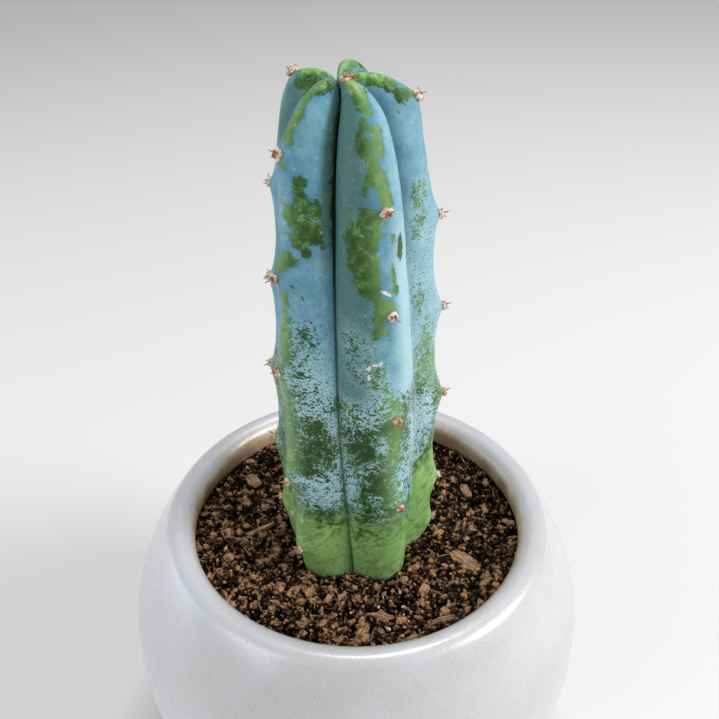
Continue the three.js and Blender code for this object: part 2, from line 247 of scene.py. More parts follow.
def positions(mesh):
    """A mesh's vertices as an array of shape (count, 3)."""
    flat = np.empty(len(mesh.vertices) * 3)
    mesh.vertices.foreach_get("co", flat)
    return flat.reshape(-1, 3)


def set_positions(mesh, places):
    mesh.vertices.foreach_set("co", np.asarray(places, float).ravel())
    mesh.update()


def set_attribute(mesh, name, values):
    """Stores one number at each vertex, which a finish can read."""
    layer = mesh.attributes.new(name, "FLOAT", "POINT")
    layer.data.foreach_set("value", np.asarray(values, np.float32))


def select_only(piece):
    """Makes a piece the only one that the operators work on."""
    bpy.ops.object.select_all(action="DESELECT")
    piece.select_set(True)
    bpy.context.view_layer.objects.active = piece


def edit_all():
    """Opens the active piece in edit mode with all of it selected."""
    bpy.ops.object.mode_set(mode="EDIT")
    bpy.ops.mesh.select_all(action="SELECT")


def stop_editing():
    bpy.ops.object.mode_set(mode="OBJECT")


def recalculate_normals(piece):
    """Merges doubles and turns every face outwards."""
    select_only(piece)
    edit_all()
    bpy.ops.mesh.remove_doubles(threshold=DOUBLES_WITHIN)
    bpy.ops.mesh.normals_make_consistent(inside=False)
    stop_editing()


def apply_modifier(piece, kind, **settings):
    """Adds a modifier to a piece and applies it."""
    modifier = piece.modifiers.new(kind.lower(), kind)
    for name, value in settings.items():
        setattr(modifier, name, value)
    select_only(piece)
    bpy.ops.object.modifier_apply(modifier=modifier.name)


def smooth(piece, angle=180):
    """Shades a piece smooth, except across edges that are sharper than an angle."""
    select_only(piece)
    bpy.ops.object.shade_smooth_by_angle(angle=math.radians(angle))


def keep(piece, node, finish):
    """Dresses a finished piece and lets it stand for a CAD node."""
    piece.data.materials.clear()
    piece.data.materials.append(finish.material)
    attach(piece, "root")
    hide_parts(node)
    triangles = sum(len(face.vertices) - 2 for face in piece.data.polygons)
    print(f"{piece.name}: {triangles} triangles for {node}")


# %% [markdown]
# ## The pot
#
# The pot is a ball with its top cut off and a rolled lip, all round one axis, so it is a profile that
# is extruded from one vertex and spun. That keeps the lip exactly tangent to the ball, which a
# cut and bevelled sphere would not. Each vertex then stores how far the profile has turned inwards
# there, which the glaze reads.

# %% The pot's sizes, as in the CAD model, in millimetres
POT_RADIUS = 80
POT_CENTRE_HEIGHT = 68
POT_WALL = 7
POT_FLOOR = 8
MOUTH_RADIUS = 56
LIP_RADIUS = 5.3
FOOT_RING_WIDTH = 8
FOOT_RECESS = 2.5
FOOT_EDGE = 1.2
NECK_ELEVATION = math.radians(12)
NECK_PULL = 10
POT_TURNS = 168
BALL_STEPS = 60
LIP_STEPS = 22
SOIL_BELOW_LIP = 4.8

LIP_CIRCLE_RADIUS = MOUTH_RADIUS + LIP_RADIUS
LIP_ABOVE_CENTRE = math.sqrt((POT_RADIUS - LIP_RADIUS) ** 2 - LIP_CIRCLE_RADIUS ** 2)
LIP_HEIGHT = POT_CENTRE_HEIGHT + LIP_ABOVE_CENTRE
LIP_ELEVATION = math.atan2(LIP_ABOVE_CENTRE, LIP_CIRCLE_RADIUS)
FOOT_RADIUS = math.sqrt(POT_RADIUS ** 2 - POT_CENTRE_HEIGHT ** 2)
print(f"lip plane at {LIP_HEIGHT:.2f} mm, foot ring of radius {FOOT_RADIUS:.1f} mm")


# %% The pot's profile
def arc(centre_x, centre_z, radius, start, end, steps):
    """Points on an arc, each (radius from the pot's axis, height)."""
    angles = np.linspace(start, end, steps + 1)
    return [(centre_x + radius * math.cos(a), centre_z + radius * math.sin(a)) for a in angles]


def bezier(points, steps):
    """Points on a cubic curve."""
    curve = []
    for t in np.linspace(0, 1, steps + 1):
        weights = ((1 - t) ** 3, 3 * t * (1 - t) ** 2, 3 * t * t * (1 - t), t ** 3)
        curve.append(tuple(sum(w * p[i] for w, p in zip(weights, points)) for i in (0, 1)))
    return curve


def inner_profile(neck_steps=10, ball_steps=26):
    """The inside of the pot, from the lip's innermost point down to the middle of the floor."""
    inside = POT_RADIUS - POT_WALL
    floor_edge = math.asin((POT_FLOOR - POT_CENTRE_HEIGHT) / inside)
    ball = arc(0, POT_CENTRE_HEIGHT, inside, NECK_ELEVATION, floor_edge, ball_steps)
    start = (MOUTH_RADIUS, LIP_HEIGHT)
    below = (MOUTH_RADIUS, LIP_HEIGHT - NECK_PULL)
    up_the_ball = (-math.sin(NECK_ELEVATION), math.cos(NECK_ELEVATION))
    above = tuple(ball[0][i] + NECK_PULL * up_the_ball[i] for i in (0, 1))
    return bezier((start, below, above, ball[0]), neck_steps)[:-1] + ball + [(0, POT_FLOOR)]


def outer_profile():
    """The foot ring and the ball, from the axis underneath up to where the lip starts."""
    ring_inside = FOOT_RADIUS - FOOT_RING_WIDTH
    foot_angle = math.asin((FOOT_EDGE - POT_CENTRE_HEIGHT) / POT_RADIUS)
    foot = [(0, FOOT_RECESS), (ring_inside - FOOT_RECESS, FOOT_RECESS), (ring_inside, 0)]
    foot += [(FOOT_RADIUS - FOOT_EDGE, 0)]
    return foot + arc(0, POT_CENTRE_HEIGHT, POT_RADIUS, foot_angle, LIP_ELEVATION, BALL_STEPS)


lip_profile = arc(LIP_CIRCLE_RADIUS, LIP_HEIGHT, LIP_RADIUS, LIP_ELEVATION, math.pi, LIP_STEPS)
pot_profile = outer_profile() + lip_profile[1:] + inner_profile()[1:]
print(len(pot_profile), "points in the pot's profile")


# %% Extrude a profile and spin it
def turned_piece(name, profile, turns):
    """Extrudes a vertex along a profile of [radius, height] in mm, and spins it about the Z axis."""
    bpy.ops.mesh.primitive_plane_add(size=MM)
    edit_all()
    bpy.ops.mesh.merge(type="CENTER")
    points = [Vector((radius, 0, height)) * MM for radius, height in profile]
    bpy.ops.transform.translate(value=points[0])
    for before, after in zip(points, points[1:]):
        bpy.ops.mesh.extrude_region_move(TRANSFORM_OT_translate={"value": after - before})
    bpy.ops.mesh.select_all(action="SELECT")
    bpy.ops.mesh.spin(steps=turns, angle=math.tau, center=(0, 0, 0), axis=(0, 0, 1))
    stop_editing()
    piece = active_object(name)
    recalculate_normals(piece)
    return piece


pot = turned_piece("pot_glazed", pot_profile, POT_TURNS)
places = positions(pot.data)
print("pot spans", places.min(0).round(4), places.max(0).round(4))

# %% [markdown]
# ### The glaze
#
# The glaze is off-white and pearly: a pale ground with faint upright brush marks, very fine dark
# specks, and a clear coat that gives the soft highlights. Over the lip and down the inside it runs
# thin, and the beige clay shows through.

# %% Mark the inside and the lip of the pot
# the glaze thins out round the lip, from this angle above level and over this many degrees
THINS_FROM = 30
THINS_OVER = 140

radii = np.hypot(places[:, 0], places[:, 1]) / MM
heights = places[:, 2] / MM
from_ball_centre = np.hypot(radii, heights - POT_CENTRE_HEIGHT)
lip_angle = np.degrees(np.arctan2(heights - LIP_HEIGHT, radii - LIP_CIRCLE_RADIUS))
on_lip = np.hypot(heights - LIP_HEIGHT, radii - LIP_CIRCLE_RADIUS) < LIP_RADIUS + 0.1
round_lip = np.clip((lip_angle - THINS_FROM) / THINS_OVER, 0, 1)
inner_half = from_ball_centre < POT_RADIUS - POT_WALL / 2
inwards = np.where(on_lip, round_lip, inner_half * 1.0)
set_attribute(pot.data, "inwards", inwards)
print("share of the pot inside:", round(float((inwards > 0.5).mean()), 2))

# %% Mix the glaze
GLAZE_GROUND = (0.585, 0.590, 0.635)
GLAZE_THIN = (0.525, 0.505, 0.500)
GLAZE_SPECK = (0.13, 0.10, 0.08)
CLAY = (0.72, 0.54, 0.33)
CLAY_DEEP = (0.40, 0.24, 0.12)

glaze = Finish("pot_glaze")
brush_marks = glaze.noise(1.0, 4, 0.6, glaze.stretched(0, (0.9, 0.9, 0.08)))
clouds = glaze.noise(26, 3, 0.55)
grain = glaze.noise(0.9, 3, 0.6)
thickness = clouds * 0.6 + brush_marks * 0.3 + grain * 0.3
inside = glaze.attribute("inwards")
thin_edge = (inside + (clouds - 0.5) * 0.5 + (brush_marks - 0.5) * 0.3).between(0.66, 1.0)
clay = glaze.mix(glaze.noise(8, 4, 0.6).between(0.35, 0.65), CLAY, CLAY_DEEP)
specks = glaze.specks(2.6, 0.05, 0.10) * glaze.noise(4.0, 1).between(0.50, 0.56)
body = glaze.layered(GLAZE_GROUND, (thickness.between(0.42, 0.80), GLAZE_THIN),
                     (thin_edge * 0.85, clay), (specks * 0.75, GLAZE_SPECK))
relief = glaze.bump(grain * 0.7 + brush_marks * 0.3, 0.22, 0.9)
glaze.surface(Base_Color=body, Roughness=0.27 + grain * 0.20, Normal=relief,
              Coat_Weight=0.8 - thin_edge * 0.5, Coat_Roughness=0.22, Coat_IOR=1.65, Specular_IOR_Level=0.8)
smooth(pot, 40)
keep(pot, "pot", glaze)

# %% [markdown]
# ## The stem
#
# The stem has five fat ribs with deep grooves between them, and swells a little under each areole.
# It is hard to sculpt to size, so the same rule that made the CAD solid places the vertices here:
# one line for the crests of the ribs, one for the grooves, and a rounded lobe from one to the other.
# The mesh starts as a UV sphere, whose rows and columns become the heights and the ribs. That gives
# closed poles and an unwrapping that follows the skin.

# %% The lines of the stem, [radius, height above the lip] in mm, from the buried tip to the top
CREST_LINE = np.array([
    [0, -48], [9, -46], [15, -38], [20.6, -22], [23.8, -6], [25, 9], [25.6, 30], [25.7, 50], [24.9, 72],
    [23.7, 94], [22.5, 112], [21.2, 127], [19, 139], [15.4, 148], [9.6, 153.2], [4, 154.6], [0, 152.9],
])
GROOVE_LINE = np.array([
    [0, -48], [9, -46], [14, -38], [16.4, -22], [17, -6], [18.4, 9], [20, 30], [20.8, 50], [20, 72],
    [18.2, 94], [16, 112], [13.4, 127], [10.4, 139], [7, 146.5], [3.4, 150.5], [1.4, 151.9], [0, 152.6],
])
LAST_STATION = len(CREST_LINE) - 1
BURIED_STATION = 3

# each rib: azimuth, turn at its foot, reach, shoulder, nose, and the heights of its areoles
RIBS = [
    (-53, 8, 0, 0, 0, (6, 34, 74, 103.4, 137.6)),
    (26, 2, 0, 0, 0.6, (28, 62.5, 97, 126.5)),
    (92, 0, 0, 0, 1, (-1.2, 18.5, 54, 86, 116, 148)),
    (176, 0, 0, 0, 2.7, (12, 45, 78, 109, 141)),
    (249, 0, 0.5, 2.3, 0.2, (4, 30, 59.5, 91, 121, 151)),
]
FOOT_TURN_HEIGHTS = (-30, 70)
RIB_TWIST = 0.06
TWIST_MIDDLE = 75
STEM_LEAN = -0.011
TIP_SHIFT = -3
BUMP_HEIGHT = 2.5
BUMP_REACH = 6.2
BUMP_POWER = 1.35
BUMP_WIDTH = 0.42
# a shoulder and a nose swell near these stations, over this many stations
SHOULDER_SWELL = (13.2, 1.6)
NOSE_SWELL = (14.2, 1.1)
TIP_SHIFTS_FROM = 13
# the flanks grow flatter and the crests rounder between these stations
RIBS_SOFTEN = (5, 12)
print(len(RIBS), "ribs with", sum(len(rib[-1]) for rib in RIBS), "areoles on their crests")


# %% The rule of the stem's surface
def on_line(line, station):
    """A point on a smooth curve through a line's points."""
    start = min(int(station), len(line) - 2)
    t = station - start
    p0, p1, p2, p3 = (line[min(max(start + i, 0), len(line) - 1)] for i in (-1, 0, 1, 2))
    leave, arrive = (p2 - p0) / 2, (p3 - p1) / 2
    cubic = (2 * p1 - 2 * p2 + leave + arrive) * t ** 3
    return cubic + (3 * p2 - 3 * p1 - 2 * leave - arrive) * t ** 2 + leave * t + p1


def smoothstep(value, low, high):
    t = np.clip((value - low) / (high - low), 0, 1)
    return t * t * (3 - 2 * t)


def swell_at(station, middle, spread):
    return math.exp(-(((station - middle) / spread) ** 2))


def station_at(height):
    """The station on the crest line at a height on the stem's side."""
    above = int(np.argmax(CREST_LINE[:, 1] >= height))
    low, high = CREST_LINE[above - 1, 1], CREST_LINE[above, 1]
    return above - 1 + (height - low) / (high - low)


def crest_azimuth(rib, height):
    """The azimuth of a rib's crest at a height, before the twist that all the ribs share."""
    azimuth, foot = RIBS[rib % len(RIBS)][:2]
    return azimuth + foot * (1 - smoothstep(height, *FOOT_TURN_HEIGHTS))


def azimuth_across(rib, across, height):
    """The azimuth across a rib: -1 and 1 are its grooves, 0 is its crest."""
    azimuth = crest_azimuth(rib, height)
    neighbour = np.where(across < 0, crest_azimuth(rib - 1, height), crest_azimuth(rib + 1, height))
    turn = (neighbour - azimuth + 180) % 360 - 180
    return azimuth + turn / 2 * np.abs(across) + RIB_TWIST * (TWIST_MIDDLE - height)


def lobe_at(across, station):
    """How far up a rib its surface stands: flat flanks, a softened crest, and a slit at the groove."""
    towards_tip = smoothstep(station, *RIBS_SOFTEN)
    share = 0.92 - 0.42 * towards_tip
    softness = 0.3 + 0.4 * towards_tip
    flank = (np.hypot(across, softness) - softness) / (math.hypot(1, softness) - softness)
    return 1 - share * flank - (1 - share) * np.abs(across) ** 6


def stem_points(rib, across, station):
    """Where a rib's surface lies at one station, for an array of places across the rib, in mm."""
    across = np.atleast_1d(np.asarray(across, float))
    crest, groove = on_line(CREST_LINE, station), on_line(GROOVE_LINE, station)
    _, _, reach, shoulder, nose, areoles = RIBS[rib]
    lobe = lobe_at(across, station)
    reach = reach * crest[0] / CREST_LINE[:, 0].max() + shoulder * swell_at(station, *SHOULDER_SWELL)
    middle = min(station, LAST_STATION - 0.5)
    along = on_line(CREST_LINE, middle + 0.002) - on_line(CREST_LINE, middle - 0.002)
    along /= np.linalg.norm(along)
    gaps = [np.linalg.norm(crest - on_line(CREST_LINE, station_at(height))) for height in areoles]
    swell = max(math.exp(-((gap / BUMP_REACH) ** BUMP_POWER)) for gap in gaps)
    bump = BUMP_HEIGHT * np.exp(-((across / BUMP_WIDTH) ** 2)) * swell
    radius = groove[0] + (crest[0] + reach - groove[0]) * lobe + bump * along[1]
    nose_height = nose * swell_at(station, *NOSE_SWELL)
    height = groove[1] + (crest[1] + nose_height - groove[1]) * lobe - bump * along[0]
    azimuth = np.radians(azimuth_across(rib, across, height))
    shift = TIP_SHIFT * smoothstep(station, TIP_SHIFTS_FROM, LAST_STATION)
    axis = STEM_LEAN * np.maximum(height, 0) + shift
    return np.stack([axis + radius * np.sin(azimuth), -radius * np.cos(azimuth), LIP_HEIGHT + height], -1)


print("front of the stem at half height:", stem_points(1, 0, 7)[0].round(1), "mm")

# %% The rows and columns of the fine mesh
ROW_STEP = 1.05
BURIED_STEPS = 3
COLUMNS_PER_RIB = 40
COLUMNS = COLUMNS_PER_RIB * len(RIBS)

stations = []
for span in range(LAST_STATION):
    length = np.linalg.norm(CREST_LINE[span + 1] - CREST_LINE[span])
    steps = max(int(length / ROW_STEP), 2)
    if span < BURIED_STATION:
        steps = BURIED_STEPS
    stations += [span + step / steps for step in range(steps)]
stations.append(LAST_STATION)
ROWS = len(stations) - 1
# columns lie closer together near the grooves, where the surface turns sharply
column_across = np.sin((np.arange(COLUMNS_PER_RIB) * 2 / COLUMNS_PER_RIB - 1) * math.pi / 2)
print(ROWS, "rows by", COLUMNS, "columns")

# %% Shape a sphere into the stem
bpy.ops.object.select_all(action="DESELECT")
bpy.ops.mesh.primitive_uv_sphere_add(segments=COLUMNS, ring_count=ROWS, radius=1)
stem = active_object("stem_skin")
sphere = positions(stem.data)
vertex_row = np.rint(np.arccos(np.clip(-sphere[:, 2], -1, 1)) / math.pi * ROWS).astype(int)
turn = np.arctan2(sphere[:, 1], sphere[:, 0]) % math.tau
vertex_column = np.rint(turn / math.tau * COLUMNS).astype(int) % COLUMNS

rings = np.array([
    np.concatenate([stem_points(rib, column_across, station) for rib in range(len(RIBS))])
    for station in stations
])
skin = rings[vertex_row, vertex_column]
lowest_tip = CREST_LINE[0, 1] + LIP_HEIGHT
skin[vertex_row == 0] = (0, 0, lowest_tip)
skin[vertex_row == ROWS] = rings[-1].mean(0)
print("stem spans", skin.min(0).round(1), skin.max(0).round(1), "mm")


# %% Uneven growth: the real skin is never quite even
# long and short waves: height and length in mm
LONG_WAVES = (0.34, 14)
SHORT_WAVES = (0.12, 5)


def waves(points, length, shift=(0, 0, 0)):
    """Noise at each point, in waves of about a length in mm."""
    return np.array([noise.noise(Vector(point) / length + Vector(shift)) for point in points])


outward = skin - np.array([0, 0, 1]) * skin[:, 2:3]
outward /= np.maximum(np.linalg.norm(outward, axis=1, keepdims=True), 1e-6)
visible = smoothstep(skin[:, 2], LIP_HEIGHT - 20, LIP_HEIGHT)
uneven = LONG_WAVES[0] * waves(skin, LONG_WAVES[1])
uneven = (uneven + SHORT_WAVES[0] * waves(skin, SHORT_WAVES[1], shift=(7, 3, 1))) * visible
skin = skin + outward * uneven[:, None]
set_positions(stem.data, skin * MM)
rib_of_column = np.arange(COLUMNS) // COLUMNS_PER_RIB
vertex_across = np.tile(column_across, len(RIBS))[vertex_column]
vertex_rib = rib_of_column[vertex_column]
print("unevenness:", uneven.min().round(2), "to", uneven.max().round(2), "mm")

# %% Unwrap the stem to millimetres: round the stem and up its crests
ROUND_THE_STEM = 165

crest_points = np.array([on_line(CREST_LINE, station) for station in stations])
crest_lengths = np.linalg.norm(np.diff(crest_points, axis=0), axis=1)
row_length = np.concatenate([[0], np.cumsum(crest_lengths)])
unwrapping = stem.data.uv_layers.active.data
flat = np.empty(len(unwrapping) * 2)
unwrapping.foreach_get("uv", flat)
flat = flat.reshape(-1, 2)
flat[:, 0] *= ROUND_THE_STEM * MM
flat[:, 1] = np.interp(flat[:, 1] * ROWS, range(ROWS + 1), row_length) * MM
unwrapping.foreach_set("uv", flat.ravel())
print("skin is", round(row_length[-1]), "mm long from tip to tip")

# %% [markdown]
# ### Where the bloom is rubbed off
#
# A blue-grey wax covers the skin. Where it has been touched it is gone and the green shows, in large
# patches with ragged edges. Near the soil the wax is only starting, as feathery frost. The patches were
# picked in the photograph, a list for each kind, and are found on the stem through the solved
# camera. Each vertex then stores how much wax it has left and what else its finish needs. Noise in the
# finish makes the edges ragged.

# %% Patches listed: x, y, half-width and half-height in the photograph's pixels
RUBBED = [
    (318, 83, 7.6, 5), (309, 93.5, 5, 7.6), (303, 104, 5, 7.6), (298.5, 114, 5.7, 7.6),
    (292.6, 124, 6.4, 6.4), (286.5, 134, 5, 6.4), (289, 142, 4, 6), (283, 165.5, 3.2, 4.5),
    (300.3, 183, 7, 6.4), (298, 195.5, 6.4, 11.5), (304, 208, 9, 10), (315.6, 211, 6, 12.5),
    (294, 216, 9, 11), (318, 195.5, 2.5, 3), (306.6, 230, 16, 12.8), (300.3, 240, 11.5, 11.5),
    (316.8, 238, 7.6, 7.6), (323, 246.6, 3, 5), (287.5, 259, 10, 7), (279.5, 267, 5, 6),
    (306.6, 254, 5, 5), (295, 281, 1.9, 1.9), (292.6, 287.4, 2.5, 1.9), (301.5, 299, 2.3, 2.5),
    (302.8, 334, 2.5, 2.5), (310.5, 345, 1.5, 1.5), (284, 296, 3, 7.6), (285, 313, 2.5, 7.6),
    (285, 335, 3.6, 15), (286, 355, 3, 7.6), (288, 392, 6, 7.6), (286, 408.5, 6, 15),
    (352.5, 87, 5, 6.4), (359, 95, 7, 10), (362.7, 106, 7.4, 7.6), (368, 114, 3.8, 5),
    (362.7, 124, 4.5, 6.4), (375.5, 131.7, 6.2, 7.6), (361.5, 142, 7.6, 9), (378, 147, 6.2, 14),
    (364, 151, 7.6, 7.6), (370.4, 163.6, 7.6, 10), (374, 172.5, 7.6, 7.6), (370.4, 180, 6.4, 7.6),
    (382, 179, 6, 10), (384, 191.6, 7, 12.8), (387, 202, 7, 7.6), (364, 191.6, 4, 6),
    (364, 211, 3.8, 3.8), (370.4, 223.5, 15, 13), (352.5, 221, 4, 4), (354, 234, 9, 9),
    (374, 234, 9, 10), (352.5, 202, 1.7, 2.4), (350.6, 209.5, 1.7, 1.7), (361.5, 243, 18, 18),
    (364, 262, 17.5, 15), (366.6, 278.5, 14.5, 12.5), (369, 290, 11, 7.6), (375.5, 299, 6.4, 5),
    (389.5, 309, 8, 9), (380.6, 311.6, 7.6, 9), (380.6, 323, 6.4, 7), (377, 334.6, 5.5, 5),
    (384.4, 332, 4, 6), (364, 309, 2.5, 2.5), (371, 319, 1.9, 3), (389.5, 341, 1.9, 2.5),
    (393.3, 238, 1.9, 7.6), (400, 247, 2.2, 15), (393.3, 275, 3, 13), (396, 290, 3.6, 6),
    (368, 78, 7.6, 6), (379, 79.5, 7.6, 5), (388, 86, 5, 7.6), (401, 95, 6.4, 7.6), (408.5, 93.5, 6, 5),
    (403.5, 102.4, 2.5, 3.8), (398.4, 110.7, 1.5, 1.5), (421, 121.5, 1.9, 11), (436.5, 377, 6, 10),
    (438, 396, 6, 10), (315.6, 71, 12, 3.6), (303, 84, 9, 6),
]
FLECKED = [
    (421, 185, 7, 11), (417.6, 201, 7, 10), (417.6, 223.5, 7.6, 14), (417.6, 236, 5, 7.6),
    (424, 338, 7.6, 25), (421, 370, 10, 15), (351, 345, 11.5, 19), (300, 345, 20, 34), (283, 215, 5, 30),
    (366, 350, 12, 14),
]
THIN = [
    (345, 105, 8, 26), (347, 150, 10, 30), (346, 200, 9, 26), (292, 95, 8, 18), (285, 125, 5, 22),
    (345, 250, 5, 20), (352, 320, 12, 26), (362, 345, 14, 14), (354, 398, 7, 14),
]
WAXED = [
    (290, 377, 7, 7.6), (313, 385, 23, 17), (304, 411, 10, 7.6), (322, 406, 12, 10), (334, 424, 6, 11),
    (299, 481, 7.6, 5), (317, 486, 15, 9), (333, 488, 8, 15), (338.5, 468, 4, 12), (319, 501, 16, 7),
    (370, 411, 15, 15), (351, 431, 7, 10), (384, 449, 8, 8), (351, 485, 6, 12), (376, 498, 5, 2),
    (412.5, 431, 10, 17), (402, 475, 7, 20), (424, 402, 8, 12), (421, 424, 11, 20), (415, 455, 6, 13),
    (398, 375, 8, 24), (372, 470, 8, 6),
]
BARE = [
    (315.6, 427, 12, 8), (319, 452, 16, 13), (307, 468, 9, 9), (287, 443, 6, 32), (366.6, 452, 15, 9),
    (380.6, 489, 7, 7), (394.6, 449, 4.5, 24), (397, 402, 7, 9), (364, 494, 1.6, 20), (388, 425, 5, 10),
    (352, 432, 9, 8), (386, 500, 8, 8), (390, 512, 6, 6), (398, 430, 4, 14), (303, 372, 6, 10),
    (318, 378, 5, 7), (296, 352, 5, 8),
]
CORKY = [
    (369, 368, 4.5, 3), (375.5, 367, 4.5, 2.2), (369.5, 376, 3.5, 5), (381, 364, 3, 2),
    (385, 293, 2.6, 2.6), (388.5, 296, 2, 1.5), (304, 440, 2.4, 1.3), (303, 520, 2.6, 1.5),
    (292, 513, 1.5, 2.8),
]
PATCH_SEED = 3

# %% A few more patches, set on the stem itself: x, y, z, half-width and half-height in mm
MORE_RUBBED = [
    (-11.5, -0.8, 262, 2.5, 3.5),
]
MORE_FLECKED = [
    (20.3, -7.7, 190.2, 4.8, 7.3), (22.7, -5.1, 179.1, 4.2, 8), (17.6, -7.2, 230, 2.2, 5),
    (18.2, -5.5, 236.5, 2.2, 3.4), (17.4, -8.5, 204.7, 2.6, 5),
]
MORE_WAXED = [
    (3.6, -23.7, 148.9, 1.3, 1), (8.3, -24.5, 136.7, 2.5, 1.2),
]
MORE_BARE = [
    (6, -24, 150, 2.9, 4.8), (4.9, -23.8, 136.5, 3.2, 2.8), (2.4, -23.4, 144.5, 1, 5.5),
]


# %% Find each patch on the stem, along the camera's line of sight
PHOTO_MIDDLE = 359.5
PHOTO_FOCAL = 900

cad_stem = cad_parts["cactus_stem"].data
stem_tree = BVHTree.FromPolygons([vertex.co for vertex in cad_stem.vertices],
                                 [tuple(face.vertices) for face in cad_stem.polygons])
sight = camera.rotation_euler.to_matrix()


def seen_at(x, y):
    """The place on the CAD stem, in mm, that a pixel shows; None beside the stem."""
    line = sight @ Vector(((x - PHOTO_MIDDLE) / PHOTO_FOCAL, (PHOTO_MIDDLE - y) / PHOTO_FOCAL, -1))
    place = stem_tree.ray_cast(camera.location, line.normalized())[0]
    return place and place / MM


def half_size(middle, ends, expected):
    """Half the way between a patch's two ends, without an end that misses the stem or lies far behind."""
    before, after = ends
    if before is not None and after is not None and (before - after).length < 6 * expected:
        return (before - after).length / 2
    reaches = [(end - middle).length for end in ends if end is not None]
    return max([reach for reach in reaches if reach < 3 * expected], default=expected)


def on_stem(spots):
    """Patches in mm, to a tenth, from spots in the photograph's pixels."""
    patches = []
    for x, y, half_width, half_height in spots:
        middle = seen_at(x, y)
        pixel = (middle - camera.location / MM).dot(sight @ Vector((0, 0, -1))) / PHOTO_FOCAL
        across = seen_at(x - half_width, y), seen_at(x + half_width, y)
        upright = seen_at(x, y - half_height), seen_at(x, y + half_height)
        wide = half_size(middle, across, half_width * pixel)
        tall = half_size(middle, upright, half_height * pixel)
        patches.append([round(size, 1) for size in (*middle, wide, tall)])
    return patches


print("the first rubbed patch lies at", on_stem(RUBBED[:1])[0][:3], "mm")


# %% More patches on the ribs that the photograph doesn't show
HIDDEN_SPANS = {2: (0.2, 0.9), 3: (-0.8, 0.8), 4: (-0.9, -0.15)}


def patches_behind(clusters, heights, sizes, seed):
    """Clusters of overlapping patches at chance places on the two ribs at the back and the right one."""
    chance = random.Random(seed)
    patches = []
    for _ in range(clusters):
        rib = chance.choice((2, 3, 3, 4, 4))
        across = chance.uniform(*HIDDEN_SPANS[rib])
        level = chance.uniform(*heights)
        for _ in range(chance.randint(4, 8)):
            size = chance.uniform(*sizes)
            station = station_at(min(max(level, heights[0]), heights[1]))
            patches.append((*stem_points(rib, across, station)[0], size, size * chance.uniform(1.0, 2.0)))
            low, high = HIDDEN_SPANS[rib]
            across = min(max(across + chance.gauss(0, 0.11), low), high)
            level += chance.gauss(-1.2, 3.2)
    return patches


def coverage(points, patches):
    """How deep each point lies in the patches: 0.5 at a patch's edge, up to 1 inside."""
    depth = np.zeros(len(points))
    for x, y, z, half_width, half_height in patches:
        side = np.hypot(points[:, 0] - x, points[:, 1] - y) / half_width
        distance = np.hypot(side, (points[:, 2] - z) / half_height)
        depth = np.maximum(depth, np.clip(1.5 - distance, 0, 1))
    return depth


rubbed_behind = patches_behind(clusters=13, heights=(84, 150), sizes=(1.0, 2.9), seed=PATCH_SEED)
rubbed = coverage(skin, on_stem(RUBBED) + MORE_RUBBED + rubbed_behind)
height = skin[:, 2] - LIP_HEIGHT
print("rubbed share of the skin:", round(float((rubbed > 0.5).mean()), 3))

# %% Where the new growth and the frost begin and end
LEFT_RIB, FRONT_RIB, RIGHT_RIB = 0, 1, 2
# the green of new growth reaches higher up the right-hand ribs than up the front ones
FRESH_LEVELS = np.array([17, 15, 31, 26, 20])
FROST_STARTS = (-4, 2)
FROST_ENDS = (62, 84)
TIP_STARTS = (151, 155.5)


def from_height(low, high):
    """0 below a height over the lip and 1 above it, with a soft step from low to high in mm."""
    return smoothstep(height, low, high)


def up_to_height(low, high):
    return 1 - smoothstep(height, low, high)


on_left, on_front, on_right = (vertex_rib == rib for rib in (LEFT_RIB, FRONT_RIB, RIGHT_RIB))
towards_back = vertex_rib >= RIGHT_RIB
waver = waves(skin, 11)
fresh_level = FRESH_LEVELS[vertex_rib] + np.where(towards_back, 12, 4) * waver
young = up_to_height(fresh_level - 12, fresh_level + 15)
unwaxed_foot = up_to_height(fresh_level - 3, fresh_level + 11)
frost_top = height + 14 * waver + np.where(towards_back, 60, 0) * waves(skin, 26)
frosted = from_height(*FROST_STARTS) * (1 - smoothstep(frost_top, *FROST_ENDS))
growing_tip = from_height(*TIP_STARTS) * (1 - 0.4 * np.abs(vertex_across))
print("frosted share of the skin:", round(float((frosted > 0.5).mean()), 3))

# %% Crests, faces and grooves; 0 across a rib is its crest and 1 is its groove
cleft = np.abs(vertex_across)
crest = np.exp(-((vertex_across / 0.24) ** 2))
# the front rib's left face, turned from the key light: it gets painted shade, and pores
left_face = on_front * smoothstep(-vertex_across, 0.10, 0.40) * from_height(30, 55)
# the front rib's edge that faces the key light, where the wax is made paler as painted light
lit_edge = on_front * smoothstep(vertex_across, 0.30, 0.55) * from_height(26, 40)
right_crease = (on_front & (vertex_across > 0)) | (on_right & (vertex_across < 0))

# the wax stops at the upper slit, and sooner on the left rib's side of it
green_side = np.where(on_left & (vertex_across > 0), 0.62, 0.25)
# in_slit also darkens the green beside the upper slit, as painted shade
in_slit = smoothstep(cleft, 0.84, 0.94) * from_height(100, 124) * green_side
# painted shade on the walls of the upper slit
slit_wall_shade = smoothstep(cleft, 0.72, 0.80) * from_height(96, 124) * (1 - 0.9 * right_crease)
# painted shade: a dark line in each groove, wider and darker near the top
slit_shade_width = 0.019 + 0.013 * from_height(92, 124)
slit = smoothstep(cleft, 1 - 2 * slit_shade_width, 1 - 0.9 * slit_shade_width)
slit = slit * (0.60 + 0.15 * from_height(8, 30) + 0.25 * from_height(84, 110))
# a painted highlight runs beside the right-hand groove, and a brown rim down the left rib's crest
ridge = np.exp(-(((cleft - 0.965) / 0.03) ** 2)) * right_crease
ridge = ridge * from_height(-4, 4) * up_to_height(96, 122)
rib_rim = np.exp(-(((vertex_across + 0.03) / 0.035) ** 2)) * on_left
rib_rim = rib_rim * from_height(36, 44) * up_to_height(96, 112)
print("right-hand crease:", int(right_crease.sum()), "vertices")
